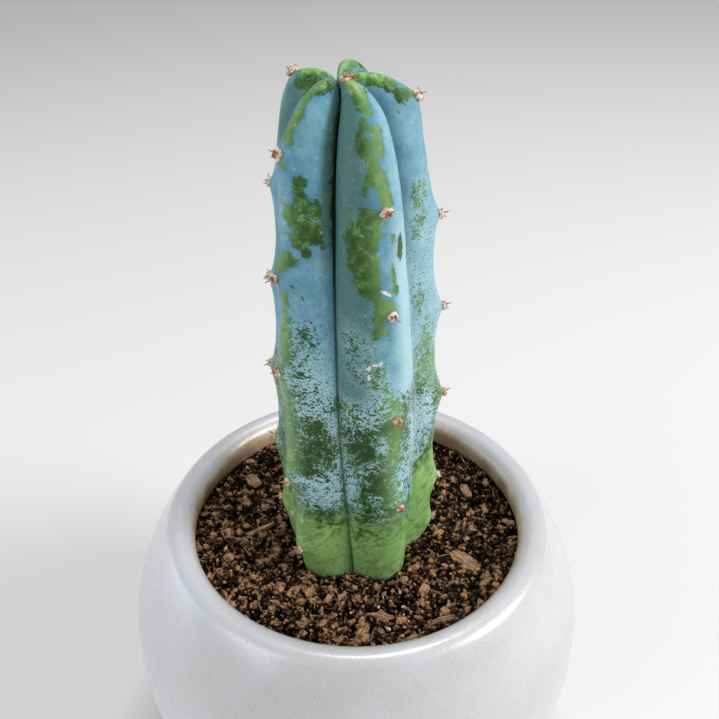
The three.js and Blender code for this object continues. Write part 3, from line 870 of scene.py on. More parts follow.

# %% How much wax is left, where it is thin or thick, where light and shade are painted on, and where it has pores
bare_behind = patches_behind(clusters=12, heights=(20, 74), sizes=(1.8, 4.2), seed=PATCH_SEED + 1)
waxed_behind = patches_behind(clusters=16, heights=(24, 80), sizes=(1.8, 4.6), seed=PATCH_SEED + 2)
bare = coverage(skin, on_stem(BARE) + MORE_BARE + bare_behind) * frosted
waxy = coverage(skin, on_stem(WAXED) + MORE_WAXED + waxed_behind)
flecked = coverage(skin, on_stem(FLECKED) + MORE_FLECKED)
full_wax = 1.0 - rubbed
# in the frost the wax is half missing, apart from the patches; above it all of it is there
# lit_edge adds pale wax as painted light on the edge that faces the key light
frost_wax = 0.21 + 0.55 * waxy - 0.50 * bare - 0.12 * crest + 0.38 * lit_edge
wax = full_wax * (1 - frosted) + np.minimum(frost_wax, full_wax) * frosted
wax = wax - np.where(on_right, 0.55, 0.36) * flecked * (1 - frosted)
wax = wax - 0.75 * unwaxed_foot - growing_tip * 0.8 - in_slit

# thin wax, and painted shade on the face turned from the key light and on the walls of the upper slit
thin = np.maximum(smoothstep(coverage(skin, on_stem(THIN)), 0, 0.9), np.maximum(slit_wall_shade, left_face))
# paler wax on the flanks that face the key light: partly thicker wax, partly painted light
lit_and_thicker_side = np.select([on_left, on_front, on_right], [
    0.3 * up_to_height(70, 95), smoothstep(vertex_across, -0.02, 0.42),
    0.6 * (1 - smoothstep(vertex_across, 0, 0.5))])
thick = lit_and_thicker_side * from_height(20, 50) * (1 - from_height(112, 132) * 0.6)
pored = np.select([on_left, on_front, on_right], [
    from_height(50, 62) * up_to_height(84, 96), left_face * up_to_height(78, 100),
    up_to_height(112, 128)])
print("wax:", wax.min().round(2), "to", wax.max().round(2))

# %% Store what the skin's finish needs at every vertex
layers = {
    "wax": wax,
    "frosted": np.maximum(frosted, flecked * 0.45),
    "young": np.maximum(young, growing_tip * 0.6),
    # bare patches, and painted shade beside the upper slit
    "bare": np.maximum(bare, in_slit * 0.4),
    "flecked": flecked * on_right,
    "corky": coverage(skin, on_stem(CORKY)),
    "crest": crest,
    # thin wax and painted shade
    "thin": thin,
    # thicker wax and painted light
    "thick": thick,
    "pored": pored,
    # painted shade in the grooves
    "slit": slit,
    # painted highlight beside the right-hand groove
    "ridge": ridge,
    "rib_rim": rib_rim,
}
for name, values in layers.items():
    set_attribute(stem.data, name, values)
print(len(layers), "values at each of", len(skin), "vertices")

# %% [markdown]
# ### The skin's finish
#
# The greens under the wax are dark on the old skin, lighter on the crests, and fresh near the soil
# and at the growing tip. The wax is a thin pale layer whose edge is cut by noise at three sizes. In
# the frosted zone it breaks up into short strokes, which are the cells of a Voronoi texture, drawn out
# in four directions: where there is more wax the strokes are wider, until they join. The wax is thicker
# and paler on the flanks that face the key light, partly as painted light, and darker on the face turned
# from it and on the walls of the upper slit, as painted shade. Small dark pores, pale corky scars, a
# painted highlight beside the right-hand groove and a dark line of painted shade in each groove finish it.

# %% The skin's colours
# dark green of bare skin, also used as painted shade beside the upper slit
GREEN_SHADE = (0.011, 0.044, 0.007)
GREEN_DEEP = (0.019, 0.068, 0.012)
GREEN = (0.042, 0.120, 0.019)
GREEN_CREST = (0.180, 0.340, 0.115)
GREEN_FRESH = (0.245, 0.470, 0.125)
GREEN_FLECK = (0.420, 0.620, 0.330)
WAX_SHADE = (0.100, 0.275, 0.390)
WAX_LIGHT = (0.215, 0.440, 0.540)
# dark wax, for thin wax and for painted shade
WAX_THIN_AND_SHADED = (0.072, 0.175, 0.150)
# pale wax, for thick wax and for painted light on the lit flanks
WAX_THICK_AND_LIT = (0.390, 0.590, 0.660)
WAX_FROST = (0.450, 0.700, 0.780)
# painted shade in the grooves, near the top and lower down
SLIT_SHADE = (0.014, 0.024, 0.011)
SLIT_SHADE_LOW = (0.038, 0.105, 0.030)
# painted highlight beside the right-hand groove
CREASE_HIGHLIGHT = (0.62, 0.78, 0.80)
RIM = (0.40, 0.33, 0.25)
PALE_DOT = (0.60, 0.74, 0.70)
CORK = (0.76, 0.66, 0.62)
SCAR_RIM = (0.42, 0.24, 0.13)
SCAR_MIDDLE = (0.03, 0.015, 0.01)

# %% The noises that cut the wax
hide = Finish("stem_skin")
wide = hide.noise(9, 2, 0.5)
ragged = hide.noise(2.4, 5, 0.7)
fine = hide.noise(0.8, 3, 0.65)
mottle = hide.noise(4.5, 3, 0.6)
NOISES = {"wide": wide, "ragged": ragged, "fine": fine, "mottle": mottle}


def roughly(value, **weights):
    """A value with some of the noises added to it, each centred on 0 and weighted."""
    for name, weight in weights.items():
        value = value + (NOISES[name] - 0.5) * weight
    return value


# %% The strokes of the frost
STROKE_TURNS = (0.3, -0.45, 1.2, -1.1)
STROKE_SPACING = 1.25
STROKE_SHAPE = (0.40, 1.85, 1)
STROKE_REACH = 0.235

nearest = hide.strokes(STROKE_SPACING, STROKE_TURNS[0], STROKE_SHAPE)
for stroke_turn in STROKE_TURNS[1:]:
    nearest = nearest.smaller(hide.strokes(STROKE_SPACING, stroke_turn, STROKE_SHAPE))
frost = hide.attribute("frosted")
edge_noise = roughly(0.0, wide=0.5, ragged=1.15, fine=0.95)
stroke_noise = roughly((STROKE_REACH - nearest) * 3.6, wide=0.9, ragged=2.1, fine=0.9)
cover = hide.attribute("wax") + edge_noise * (1 - frost) + stroke_noise * frost
veil = cover.between(0.22, 0.72) * 0.55 + cover.between(0.40, 0.60) * 0.45
waxed = cover.between(0.46, 0.54) * frost + veil * (1 - frost)

# %% The greens under the wax
old_green = hide.mix((wide * 0.6 + ragged * 0.6).between(0.42, 0.72), GREEN_DEEP, GREEN)
fresh = hide.attribute("young")
flecks = roughly(mottle * 0.6, fine=0.5, ragged=0.8).between(0.30, 0.44)
speckles = roughly(0.0, mottle=1.2, ragged=-1.0, fine=-0.6).between(0.02, 0.20)
fresh_strokes = hide.noise(1.3, 3, 0.6, hide.drawn_out(0.7, (1.3, 0.30, 1))).between(0.48, 0.62)
scratches = hide.noise(1.5, 2, 0.5, hide.drawn_out(0.12, (1.9, 0.11, 1))).between(0.66, 0.71)
green = hide.layered(
    old_green,
    # bare patches, and painted shade beside the upper slit
    (roughly(hide.attribute("bare") * 0.9, ragged=1.2), GREEN_SHADE),
    (roughly(hide.attribute("crest") * 0.8, ragged=0.5), GREEN_CREST),
    (roughly(fresh, wide=1.2, ragged=2.4, fine=0.8).between(0.02, 1.05), GREEN_FRESH),
    (flecks * (0.05 + fresh * 0.30), GREEN_FLECK),
    (speckles * fresh * 0.30, GREEN),
    (roughly(hide.attribute("flecked") * 0.75, ragged=0.8), GREEN_CREST),
    (fresh_strokes * fresh * 0.52, GREEN_FLECK),
    (scratches * 0.40 * (1 - frost), WAX_LIGHT),
)

# %% The wax on the greens
bloom = hide.mix(roughly((cover - 0.6) * 0.7, wide=0.9, ragged=0.7), WAX_SHADE, WAX_LIGHT)
bloom = hide.layered(
    bloom,
    # thin wax, and painted shade on the face turned from the key light and beside the upper slit
    (roughly(hide.attribute("thin") * 0.9, wide=0.4), WAX_THIN_AND_SHADED),
    (frost * 0.65, WAX_FROST),
    # paler wax on the flanks that face the key light: partly thicker wax, partly painted light
    (roughly(hide.attribute("thick"), wide=0.5, ragged=0.4), WAX_THICK_AND_LIT),
    (frost * roughly(cover, fine=0.8).between(0.55, 1.1) * 0.6, WAX_THICK_AND_LIT),
)
pored_places = ragged * 0.7 + (hide.attribute("pored") * 0.15 + frost * 0.10)
pores = hide.specks(0.9, 0.16, 0.32) * pored_places.between(0.39, 0.46)
pale_dots = hide.specks(2.6, 0.05, 0.11) * wide.between(0.48, 0.54)

# %% The marks: a painted highlight by the groove, rim, corky scars and one round scar
SCAR_PLACE = (-4.2, -20.8, 162.6)

hairline = hide.noise(0.9, 3, 0.6, hide.drawn_out(0.25, (1.9, 0.30, 1)))
# painted highlight beside the right-hand groove, broken along its length
crease_highlight_line = hide.attribute("ridge") * hairline.between(0.34, 0.56)
rim_line = hide.attribute("rib_rim") * hairline.between(0.42, 0.54)
scar = roughly(hide.attribute("corky"), ragged=2.2, fine=2.0).between(0.60, 0.68)
from_scar = hide.distance_to(SCAR_PLACE)

# %% Lay the layers over each other
skin_colour = hide.layered(
    green,
    (waxed * 0.95, bloom),
    (pores * waxed * 0.8, GREEN_DEEP),
    (pale_dots * 0.5, PALE_DOT),
    # painted highlight beside the right-hand groove
    (crease_highlight_line * 0.8, CREASE_HIGHLIGHT),
    (rim_line * 0.85, RIM),
    # painted shade: a dark line in each groove
    (hide.attribute("slit") * 0.97, hide.mix(frost, SLIT_SHADE, SLIT_SHADE_LOW)),
    (scar, CORK),
    (1 - from_scar.between(0.8 * MM, 1.0 * MM), SCAR_RIM),
    (1 - from_scar.between(0.3 * MM, 0.5 * MM), SCAR_MIDDLE),
)
skin_relief = hide.bump(waxed * 0.5 + ragged * 0.3 + fine * 0.2 + scar, 0.09, 0.85)
hide.surface(Base_Color=skin_colour, Roughness=0.38 + waxed * 0.16 + scar * 0.25, Normal=skin_relief,
             Specular_IOR_Level=0.22)
smooth(stem)
keep(stem, "cactus_stem", hide)

# %% [markdown]
# ## Areoles: wool and spines
#
# Each areole is a cushion of pale wool, brown in its middle, with two to five short stout spines.
# Four cushions and one spine are modelled and copied to their places; thin copies of the
# spine are the stray hairs of the wool. The copies are written into one mesh, because hundreds of
# separate objects would gain nothing. The chance numbers come from the same rule as in the CAD model,
# so each spine stands where its solid does.


# %% Gather many copies of a few models into one mesh
def gather(name, models, copies):
    """One mesh from copies of models; each copy is (model number, matrix in mm, tone)."""
    shapes = []
    for model in models:
        corners = [loop.vertex_index for loop in model.data.loops]
        sizes = [len(face.vertices) for face in model.data.polygons]
        shapes.append((positions(model.data), np.array(corners), np.array(sizes)))
    points, corners, sizes, tones, along = [], [], [], [], []
    first = 0
    for number, matrix, tone in copies:
        shape, shape_corners, shape_sizes = shapes[number]
        points.append(shape @ np.array(matrix.to_3x3()).T + np.array(matrix.translation))
        corners.append(shape_corners + first)
        sizes.append(shape_sizes)
        tones.append(np.full(len(shape), tone))
        along.append(shape[:, 2])
        first += len(shape)
    mesh = mesh_from(name, *(np.concatenate(part) for part in (points, corners, sizes)))
    set_attribute(mesh, "tone", np.concatenate(tones))
    set_attribute(mesh, "along", np.concatenate(along))
    piece = bpy.data.objects.new(name, mesh)
    bpy.context.scene.collection.objects.link(piece)
    return piece


def mesh_from(name, points, corners, sizes):
    """A mesh from points in mm, the corners of its faces in one row, and each face's corner count."""
    mesh = bpy.data.meshes.new(name)
    mesh.vertices.add(len(points))
    mesh.loops.add(len(corners))
    mesh.polygons.add(len(sizes))
    starts = np.cumsum(sizes) - sizes
    mesh.vertices.foreach_set("co", (points * MM).ravel())
    mesh.loops.foreach_set("vertex_index", corners.astype(np.int32))
    mesh.polygons.foreach_set("loop_start", starts.astype(np.int32))
    mesh.update(calc_edges=True)
    mesh.validate()
    return mesh


def placed(place, turn, scale):
    """A matrix that scales, turns and then moves a model, in mm."""
    moved = Matrix.Translation(Vector(place)) @ turn.to_matrix().to_4x4()
    return moved @ Matrix.Diagonal((*scale, 1))


# %% Model one spine: a cone of unit length with a thick foot and a slight bend
SPINE_SIDES = 8
SPINE_BEND = 0.06
# each step up the spine: how far it rises and how much it narrows
SPINE_STEPS = ((0.14, 0.9), (0.2, 0.84), (0.24, 0.76), (0.24, 0.56), (0.18, 0.1))


def spine_model():
    bpy.ops.object.select_all(action="DESELECT")
    bpy.ops.mesh.primitive_circle_add(vertices=SPINE_SIDES, radius=1, fill_type="NGON")
    edit_all()
    for rise, narrower in SPINE_STEPS:
        step = (SPINE_BEND * rise, 0, rise)
        bpy.ops.mesh.extrude_region_move(TRANSFORM_OT_translate={"value": step})
        bpy.ops.transform.resize(value=(narrower, narrower, 1))
    stop_editing()
    piece = active_object("spine_model")
    recalculate_normals(piece)
    return piece


# %% Model the wool cushions: lumpy flattened balls
def lumpy_ball(name, subdivisions, offset, seed):
    """A ball of radius 1 whose vertices are pushed about by chance."""
    bpy.ops.object.select_all(action="DESELECT")
    bpy.ops.mesh.primitive_ico_sphere_add(subdivisions=subdivisions, radius=1)
    edit_all()
    bpy.ops.transform.vertex_random(offset=offset, uniform=0.3, normal=0.7, seed=seed)
    stop_editing()
    return active_object(name)


LOBE_HEIGHT, LOBE_DENSITY = 0.42, 1.3
TUFT_HEIGHT, TUFT_DENSITY = 0.16, 4.5


def tufted_ball(name, seed):
    """A cushion of wool: a ball with two or three lobes and a tufted surface."""
    ball = lumpy_ball(name, subdivisions=4, offset=0.07, seed=seed)
    points = positions(ball.data)
    for point in points:
        place = Vector(point)
        lobes = noise.noise(place * LOBE_DENSITY + Vector((seed * 5, 0, 0)))
        tufts = noise.noise(place * TUFT_DENSITY + Vector((0, seed * 5, 0)))
        point *= 1 + LOBE_HEIGHT * lobes + TUFT_HEIGHT * tufts
    set_positions(ball.data, points)
    return ball


spine = spine_model()
cushions = [tufted_ball(f"cushion_model_{seed}", seed) for seed in range(1, 5)]
print("a spine has", len(spine.data.polygons), "faces and a cushion", len(cushions[0].data.polygons))


# %% The chance numbers and the places of the areoles
class AreoleChance:
    """The same repeatable numbers that placed the spines of the CAD solid."""

    def __init__(self, seed):
        self.state = seed

    def between(self, low, high):
        self.state = (self.state * 1664525 + 1013904223) % 2 ** 32
        return low + (high - low) * self.state / 2 ** 32


UP = Vector((0, 0, 1))
AREOLE_RADIUS = 1.3
AREOLE_GROWTH = 0.35
TIP_HEIGHT = 152.9
# two more cushions crown the front rib's tip
CROWN_STATION = 14.9
CROWN_ACROSS = (-0.12, 0.62)
CROWN_OUTWARDS = (0.12, -0.35, 0.93)


def areole_places():
    """Each areole's place, outward direction and cushion radius, in mm."""
    found = []
    for rib, (*_, areoles) in enumerate(RIBS):
        for level in areoles:
            station = station_at(level)
            middle = stem_points(rib, 0, station)[0]
            up = stem_points(rib, 0, station + 0.2)[0] - stem_points(rib, 0, station - 0.2)[0]
            across = stem_points(rib, 0.15, station)[0] - stem_points(rib, -0.15, station)[0]
            out = Vector(across).cross(Vector(up)).normalized()
            found.append((Vector(middle), out, AREOLE_RADIUS + AREOLE_GROWTH * level / TIP_HEIGHT))
    for across in CROWN_ACROSS:
        place = Vector(stem_points(FRONT_RIB, across, CROWN_STATION)[0])
        found.append((place, Vector(CROWN_OUTWARDS).normalized(), AREOLE_RADIUS))
    return found


print(len(areole_places()), "areoles")

# %% The spines and the hairs of one areole
SPINE_COUNT = (2, 5)
SPINE_LENGTH = (2.8, 4.4)
SPINE_SPLAY = (26, 68)
SPINE_BASE_RADIUS = 0.45
SPINE_ROOT = 1.1
SPINES_START_ABOVE = LIP_HEIGHT - SOIL_BELOW_LIP + 2.5
HAIRS = 34
HAIR_RADIUS = 0.055
HAIR_LENGTH = (0.35, 0.8)
HAIR_ROOTS = (0.9, 0.9, 0.52)

areole_chance = AreoleChance(5)
hair_chance = random.Random(8)


def spines_on(seat, upright):
    """The spines of one areole, as copies of the model; those that would touch the soil are left out."""
    count = math.floor(areole_chance.between(*SPINE_COUNT) + 0.5)
    first_turn = areole_chance.between(0, 360)
    copies = []
    for number in range(count):
        length = areole_chance.between(*SPINE_LENGTH)
        splay = Quaternion((0, 1, 0), math.radians(areole_chance.between(*SPINE_SPLAY)))
        turn = upright @ (Quaternion(UP, math.radians(first_turn + 360 * number / count)) @ splay)
        foot = seat + turn @ Vector((0, 0, -SPINE_ROOT))
        tip = seat + turn @ Vector((0, 0, length - SPINE_ROOT))
        if min(foot.z, tip.z) > SPINES_START_ABOVE:
            size = (SPINE_BASE_RADIUS, SPINE_BASE_RADIUS, length)
            copies.append((0, placed(foot, turn, size), hair_chance.random()))
    return copies


def hairs_on(seat, upright, radius):
    """Stray hairs that stand out of one cushion, as thin copies of the spine."""
    copies = []
    for _ in range(HAIRS):
        aim = hair_chance.gauss(0, 1), hair_chance.gauss(0, 1), abs(hair_chance.gauss(0, 0.8))
        away = Vector(aim).normalized()
        turn = upright @ UP.rotation_difference(away)
        root = Vector([part * radius * share for part, share in zip(away, HAIR_ROOTS)])
        size = (HAIR_RADIUS, HAIR_RADIUS, hair_chance.uniform(*HAIR_LENGTH))
        copies.append((0, placed(seat + upright @ root, turn, size), hair_chance.random()))
    return copies


# %% Copy the cushions, the spines and the hairs to the areoles
AREOLE_SINK = 0.3
CUSHION_SHAPE = (0.92, 0.92, 0.60)

cushion_copies, spine_copies, hair_copies = [], [], []
for number, (place, out, radius) in enumerate(areole_places()):
    upright = UP.rotation_difference(out)
    seat = place + upright @ (UP * AREOLE_SINK)
    spin = Quaternion(UP, areole_chance.between(0, 1))
    size = [radius * share for share in CUSHION_SHAPE]
    model = number % len(cushions)
    cushion_copies.append((model, placed(seat, upright @ spin, size), number % 7 / 7))
    spine_copies += spines_on(seat, upright)
    hair_copies += hairs_on(seat, upright, radius)
wool = gather("areole_wool", cushions, cushion_copies)
spines = gather("areole_spines", [spine], spine_copies)
hairs = gather("areole_hairs", [spine], hair_copies)
raised = np.empty(len(wool.data.vertices))
wool.data.attributes["along"].data.foreach_get("value", raised)
set_attribute(wool.data, "pit", smoothstep(raised, 0.45, 1.0))
print(len(cushion_copies), "cushions,", len(spine_copies), "spines and", len(hair_copies), "hairs")

# %% Mix the wool, the hairs and the spines
WOOL = (0.52, 0.27, 0.13)
WOOL_PALE = (0.88, 0.75, 0.64)
WOOL_PIT = (0.17, 0.068, 0.028)
HORN_FOOT = (0.66, 0.46, 0.29)
HORN = (0.52, 0.31, 0.17)
HORN_TIP = (0.12, 0.060, 0.035)

felt = Finish("areole_wool")
tufts = felt.noise(0.6, 4, 0.65)
sides = felt.noise(2.4, 2, 0.5)
brown = (sides * 0.9 + tufts * 0.4).between(0.52, 0.80)
pits = felt.noise(1.2, 2, 0.6).between(0.58, 0.66)
middle = (felt.attribute("pit") + (sides - 0.5) * 0.9 + (tufts - 0.5) * 0.7).between(0.62, 0.80)
wool_colour = felt.layered(WOOL_PALE, (brown, WOOL), (pits * 0.8, WOOL_PIT), (middle * 0.88, WOOL_PIT))
felt.surface(Base_Color=wool_colour, Roughness=0.95, Normal=felt.bump(tufts, 0.3), Specular_IOR_Level=0.2)

horn = Finish("areole_spines")
horn_grain = horn.noise(0.5, 3)
up_the_spine = horn.attribute("along") + (horn_grain - 0.5) * 0.3
horn_colour = horn.ramp(up_the_spine, (0.0, HORN_FOOT), (0.6, HORN), (0.98, HORN_TIP))
horn.surface(Base_Color=horn_colour, Roughness=0.45, Normal=horn.bump(horn_grain, 0.08))

for piece, finish in ((wool, felt), (hairs, felt), (spines, horn)):
    smooth(piece, 60)
    keep(piece, "cactus_stem", finish)

# %% [markdown]
# ## The soil
#
# The soil is crumbled peat: thousands of dark lumps from under 1 mm to 6 mm across, with black gaps
# between them. A displaced surface never gives those gaps, so a plain bed fills the pot and real
# crumbs lie on it. Twelve crumbs are modelled, and each copy is turned, squeezed and toned by chance.
# Pale grains of perlite and slivers of wood lie among them.

# %% The soil's level, as in the CAD model
# each hollow: x, y, depth and reach in mm
SOIL_HOLLOWS = [(0, 0, 4, 34), (-27, -6, 2, 8)]
SWELL_HEIGHT = 0.6
SWELL_REACH = 13


def soil_level(x, y):
    """The soil's mean level: sunken round the stem and at its left foot, in mm."""
    level = LIP_HEIGHT - SOIL_BELOW_LIP + SWELL_HEIGHT * np.sin(x / SWELL_REACH) * np.cos(y / SWELL_REACH)
    for middle_x, middle_y, depth, reach in SOIL_HOLLOWS:
        level = level - depth * np.exp(-((np.hypot(x - middle_x, y - middle_y) / reach) ** 2))
    return level


inner = inner_profile()
inner_heights = np.array([height for _, height in inner[::-1]])
inner_radii = np.array([radius for radius, _ in inner[::-1]])


def wall_radius(height):
    """The pot's inner radius at a height, in mm."""
    return float(np.interp(height, inner_heights, inner_radii))


print("wall radius at the soil:", round(wall_radius(soil_level(56, 0)), 1), "mm")

# %% The bed: spin it, then sink and roughen its top
BED_BELOW = 1.6
BED_GAP = 0.3
BED_RINGS = 60
BED_RING_STEP = 0.92
BED_TURNS = 160
# the lumps of its top: height and length in mm
BED_LUMPS = ((0.7, 2.1), (0.35, 0.9))

soil_rim = LIP_HEIGHT - SOIL_BELOW_LIP - BED_BELOW
bed_side = [(max(radius - BED_GAP, 0), height + BED_GAP) for radius, height in inner_profile(8, 12)[::-1]]
bed_side = [point for point in bed_side if point[1] < soil_rim - 0.5]
bed_reach = wall_radius(soil_rim) - BED_GAP
bed_top = [(bed_reach - ring * BED_RING_STEP, soil_rim) for ring in range(BED_RINGS)]
bed = turned_piece("soil_bed", bed_side + bed_top + [(0, soil_rim)], BED_TURNS)
bed_points = positions(bed.data) / MM
on_top = bed_points[:, 2] > soil_rim - 0.1
top = bed_points[on_top]
bed_lumps = sum(tall * waves(top, length) for tall, length in BED_LUMPS)
bed_points[on_top, 2] = soil_level(top[:, 0], top[:, 1]) - BED_BELOW + bed_lumps
set_positions(bed.data, bed_points * MM)
print("bed has", len(bed.data.polygons), "faces")

# %% Cut the stem's hole into the bed
HOLE_CLEARANCE = 0.3
HOLE_SIDES = 80
SIDES_PER_RIB = HOLE_SIDES // len(RIBS)
NARROW_STEM = 20
# heights over the lip: where the stem gives the hole its outline, and the two ends of the plug
HOLE_LEVEL = -9
PLUG_BOTTOM, PLUG_TOP = -30, 8

bpy.ops.object.select_all(action="DESELECT")
bpy.ops.mesh.primitive_cylinder_add(vertices=HOLE_SIDES, radius=1, depth=1)
plug = active_object("stem_plug")
cylinder = positions(plug.data)
plug_angles = np.arctan2(cylinder[:, 1], cylinder[:, 0])
plug_columns = np.rint(plug_angles % math.tau / math.tau * HOLE_SIDES).astype(int) % HOLE_SIDES
hole_station = station_at(HOLE_LEVEL)
sides_across = np.arange(SIDES_PER_RIB) * 2 / SIDES_PER_RIB - 1
outline = np.concatenate([stem_points(rib, sides_across, hole_station) for rib in range(len(RIBS))])
outline[:, :2] *= 1 + HOLE_CLEARANCE / NARROW_STEM
plug_points = outline[plug_columns]
plug_points[:, 2] = LIP_HEIGHT + np.where(cylinder[:, 2] > 0, PLUG_TOP, PLUG_BOTTOM)
set_positions(plug.data, plug_points * MM)
recalculate_normals(plug)
apply_modifier(bed, "BOOLEAN", operation="DIFFERENCE", object=plug, solver="EXACT")
bpy.data.objects.remove(plug)
bpy.context.view_layer.update()
print("bed after the hole:", len(bed.data.polygons), "faces")

# %% Model the crumbs
lumps = [lumpy_ball(f"lump_model_{seed}", subdivisions=2, offset=0.34, seed=seed)
         for seed in range(11, 17)]
grains = [lumpy_ball(f"grain_model_{seed}", subdivisions=1, offset=0.30, seed=seed)
          for seed in range(21, 27)]
print("a lump has", len(lumps[0].data.polygons), "faces, a grain", len(grains[0].data.polygons))

# %% The chips: node, place, turn, tilt, thickness and outline, as in the CAD model
CHIPS = [
    ("bark_chip_1", (37, -15), -48, (6, -4), 1.6,
     [(-6.2, -1.4), (-3, -2.6), (2.4, -2.8), (5.6, -1.2), (6.6, 0.8), (3, 2.6), (-2.6, 2.4), (-5.8, 1)]),
    ("bark_chip_2", (-39, 25), -55, (-5, 4), 1.4,
     [(-3.8, -1.8), (0.4, -2.6), (3.9, -1.2), (3.2, 1.9), (-0.8, 2.4), (-3.4, 1.5)]),
    ("bark_chip_3", (8, -38), -12, (-4, 6), 1.2,
     [(-5.4, -0.9), (-1.6, -1.3), (2, -3), (2.6, -0.8), (5.6, 1), (1.8, 1.2), (-0.6, 2.6), (-1.8, 0.9)]),
    ("bark_chip_4", (1.6, -45.6), 66, (8, 3), 1.5,
     [(-4.4, -1.2), (0.2, -1.8), (4.2, -1), (4.6, 0.9), (0.6, 1.6), (-4, 1.1)]),
    ("bark_chip_5", (27.5, -40), 14, (4, -5), 1.3,
     [(-4.8, -0.8), (0.6, -1.3), (4.6, -0.6), (4.2, 0.9), (-0.4, 1.3), (-4.4, 0.7)]),
    ("bark_chip_6", (40.6, 19.6), -78, (-6, -6), 1.4,
     [(-4.2, -1.3), (-0.6, -2), (3.8, -1.2), (4, 1), (0.2, 1.8), (-3.6, 1.2)]),
    ("twig", (-37.5, -1.6), 33, (2, -2), 1.5,
     [(-9.6, -1.2), (-6.4, -2.1), (-3.2, -1.5), (2.4, -0.8), (9.4, -0.6),
      (9.6, 0.5), (2.2, 0.7), (-3.4, 1.2), (-8.2, 1.3)]),
]
CHIP_SINK = 0.6

# %% Chance places on the soil, clear of the wall, of the stem and of the chips
SOIL_REACH = 57
CHIP_SHARE = 0.75
# the stem's outline at the soil is taken at this height over the lip
RING_LEVEL = -5

columns = np.linspace(-1, 1, 24)
ring_station = station_at(RING_LEVEL)
stem_ring = np.concatenate([stem_points(rib, columns, ring_station) for rib in range(len(RIBS))])
ring_angles = np.arctan2(stem_ring[:, 1], stem_ring[:, 0])
ring_radii = np.hypot(stem_ring[:, 0], stem_ring[:, 1])
order = np.argsort(ring_angles)


def stem_radius(x, y):
    """The stem's radius at the soil in the direction of a point, in mm."""
    angle = math.atan2(y, x)
    return float(np.interp(angle, ring_angles[order], ring_radii[order], period=math.tau))


def on_chip(x, y, share):
    """Whether a point lies in an ellipse over a chip, of this share of its length and width."""
    for _, (chip_x, chip_y), turn, _, _, outline in CHIPS:
        angle = math.radians(-turn)
        dx, dy = x - chip_x, y - chip_y
        u = dx * math.cos(angle) - dy * math.sin(angle)
        v = dx * math.sin(angle) + dy * math.cos(angle)
        half_length, half_width = (max(corner[i] for corner in outline) for i in (0, 1))
        if (u / half_length) ** 2 + (v / half_width) ** 2 < share ** 2:
            return True
    return False


def free_place(chance, margin):
    """A chance place on the soil, with a margin in mm to the wall, the stem and the chips."""
    while True:
        radius = SOIL_REACH * math.sqrt(chance.random())
        angle = chance.uniform(-math.pi, math.pi)
        x, y = radius * math.cos(angle), radius * math.sin(angle)
        wall = wall_radius(soil_level(x, y)) - margin
        clear = radius < wall and radius > stem_radius(x, y) + margin * 0.8
        if clear and not on_chip(x, y, CHIP_SHARE + margin * 0.15):
            return x, y


# %% Scatter the crumbs
def chance_turn(chance):
    axis = Vector([chance.gauss(0, 1) for _ in range(3)]).normalized()
    return Quaternion(axis, chance.uniform(0, math.tau))


def scattered(models, count, sizes, lift, seed):
    """Copies of crumb models on the soil, with sizes in mm and a lift above the mean level."""
    chance = random.Random(seed)
    copies = []
    for _ in range(count):
        # small ones are more common than large ones
        size = sizes[0] + (sizes[1] - sizes[0]) * chance.random() ** 1.8
        x, y = free_place(chance, size)
        z = soil_level(x, y) + chance.uniform(*lift) - size * 0.35
        squeeze = [size * chance.uniform(0.7, 1.2) for _ in range(3)]
        number = chance.randrange(len(models))
        matrix = placed((x, y, z), chance_turn(chance), squeeze)
        copies.append((number, matrix, chance.random()))
    return copies


def crumbs(name, models, **amounts):
    return gather(name, models, scattered(models, **amounts))


coarse = crumbs("soil_lumps", lumps, count=1700, sizes=(0.9, 2.3), lift=(-0.9, 0.7), seed=31)
fine_crumbs = crumbs("soil_crumbs", grains, count=9000, sizes=(0.35, 0.95), lift=(-0.4, 1.0), seed=32)
white = crumbs("soil_perlite", lumps, count=26, sizes=(0.3, 0.75), lift=(0.4, 1.0), seed=33)

# %% Big lumps lie towards the back and the right
big_copies = []
all_over = scattered(lumps, count=420, sizes=(1.6, 3.1), lift=(-1.0, 0.2), seed=35)
for number, matrix, tone in all_over:
    x, y, _ = matrix.translation
    if tone < 0.25 + 0.5 * smoothstep(y, -20, 30) + 0.2 * smoothstep(x, 0, 40):
        big_copies.append((number, matrix, (tone * 7.3) % 1))
big = gather("soil_big_lumps", lumps, big_copies)
print(len(big_copies), "big lumps")

# %% Scatter slivers of wood
SLIVERS = 130
SLIVER_LENGTH = (1.6, 5.5)
SLIVER_WIDTH = (0.2, 0.5)
SLIVER_THICKNESS = (0.12, 0.25)
SLIVER_TILT = (1.2, 1.75)
SLIVER_LIFT = (0.2, 1.0)

chance = random.Random(34)
sliver_copies = []
for _ in range(SLIVERS):
    x, y = free_place(chance, 3)
    length = chance.uniform(*SLIVER_LENGTH)
    turn = Quaternion(UP, chance.uniform(0, math.tau))
    turn = turn @ Quaternion((0, 1, 0), chance.uniform(*SLIVER_TILT))
    size = (chance.uniform(*SLIVER_WIDTH), chance.uniform(*SLIVER_THICKNESS), length)
    place = (x, y, soil_level(x, y) + chance.uniform(*SLIVER_LIFT))
    sliver_copies.append((0, placed(place, turn, size), chance.random()))
slivers = gather("soil_slivers", [spine], sliver_copies)
print(len(sliver_copies), "slivers")

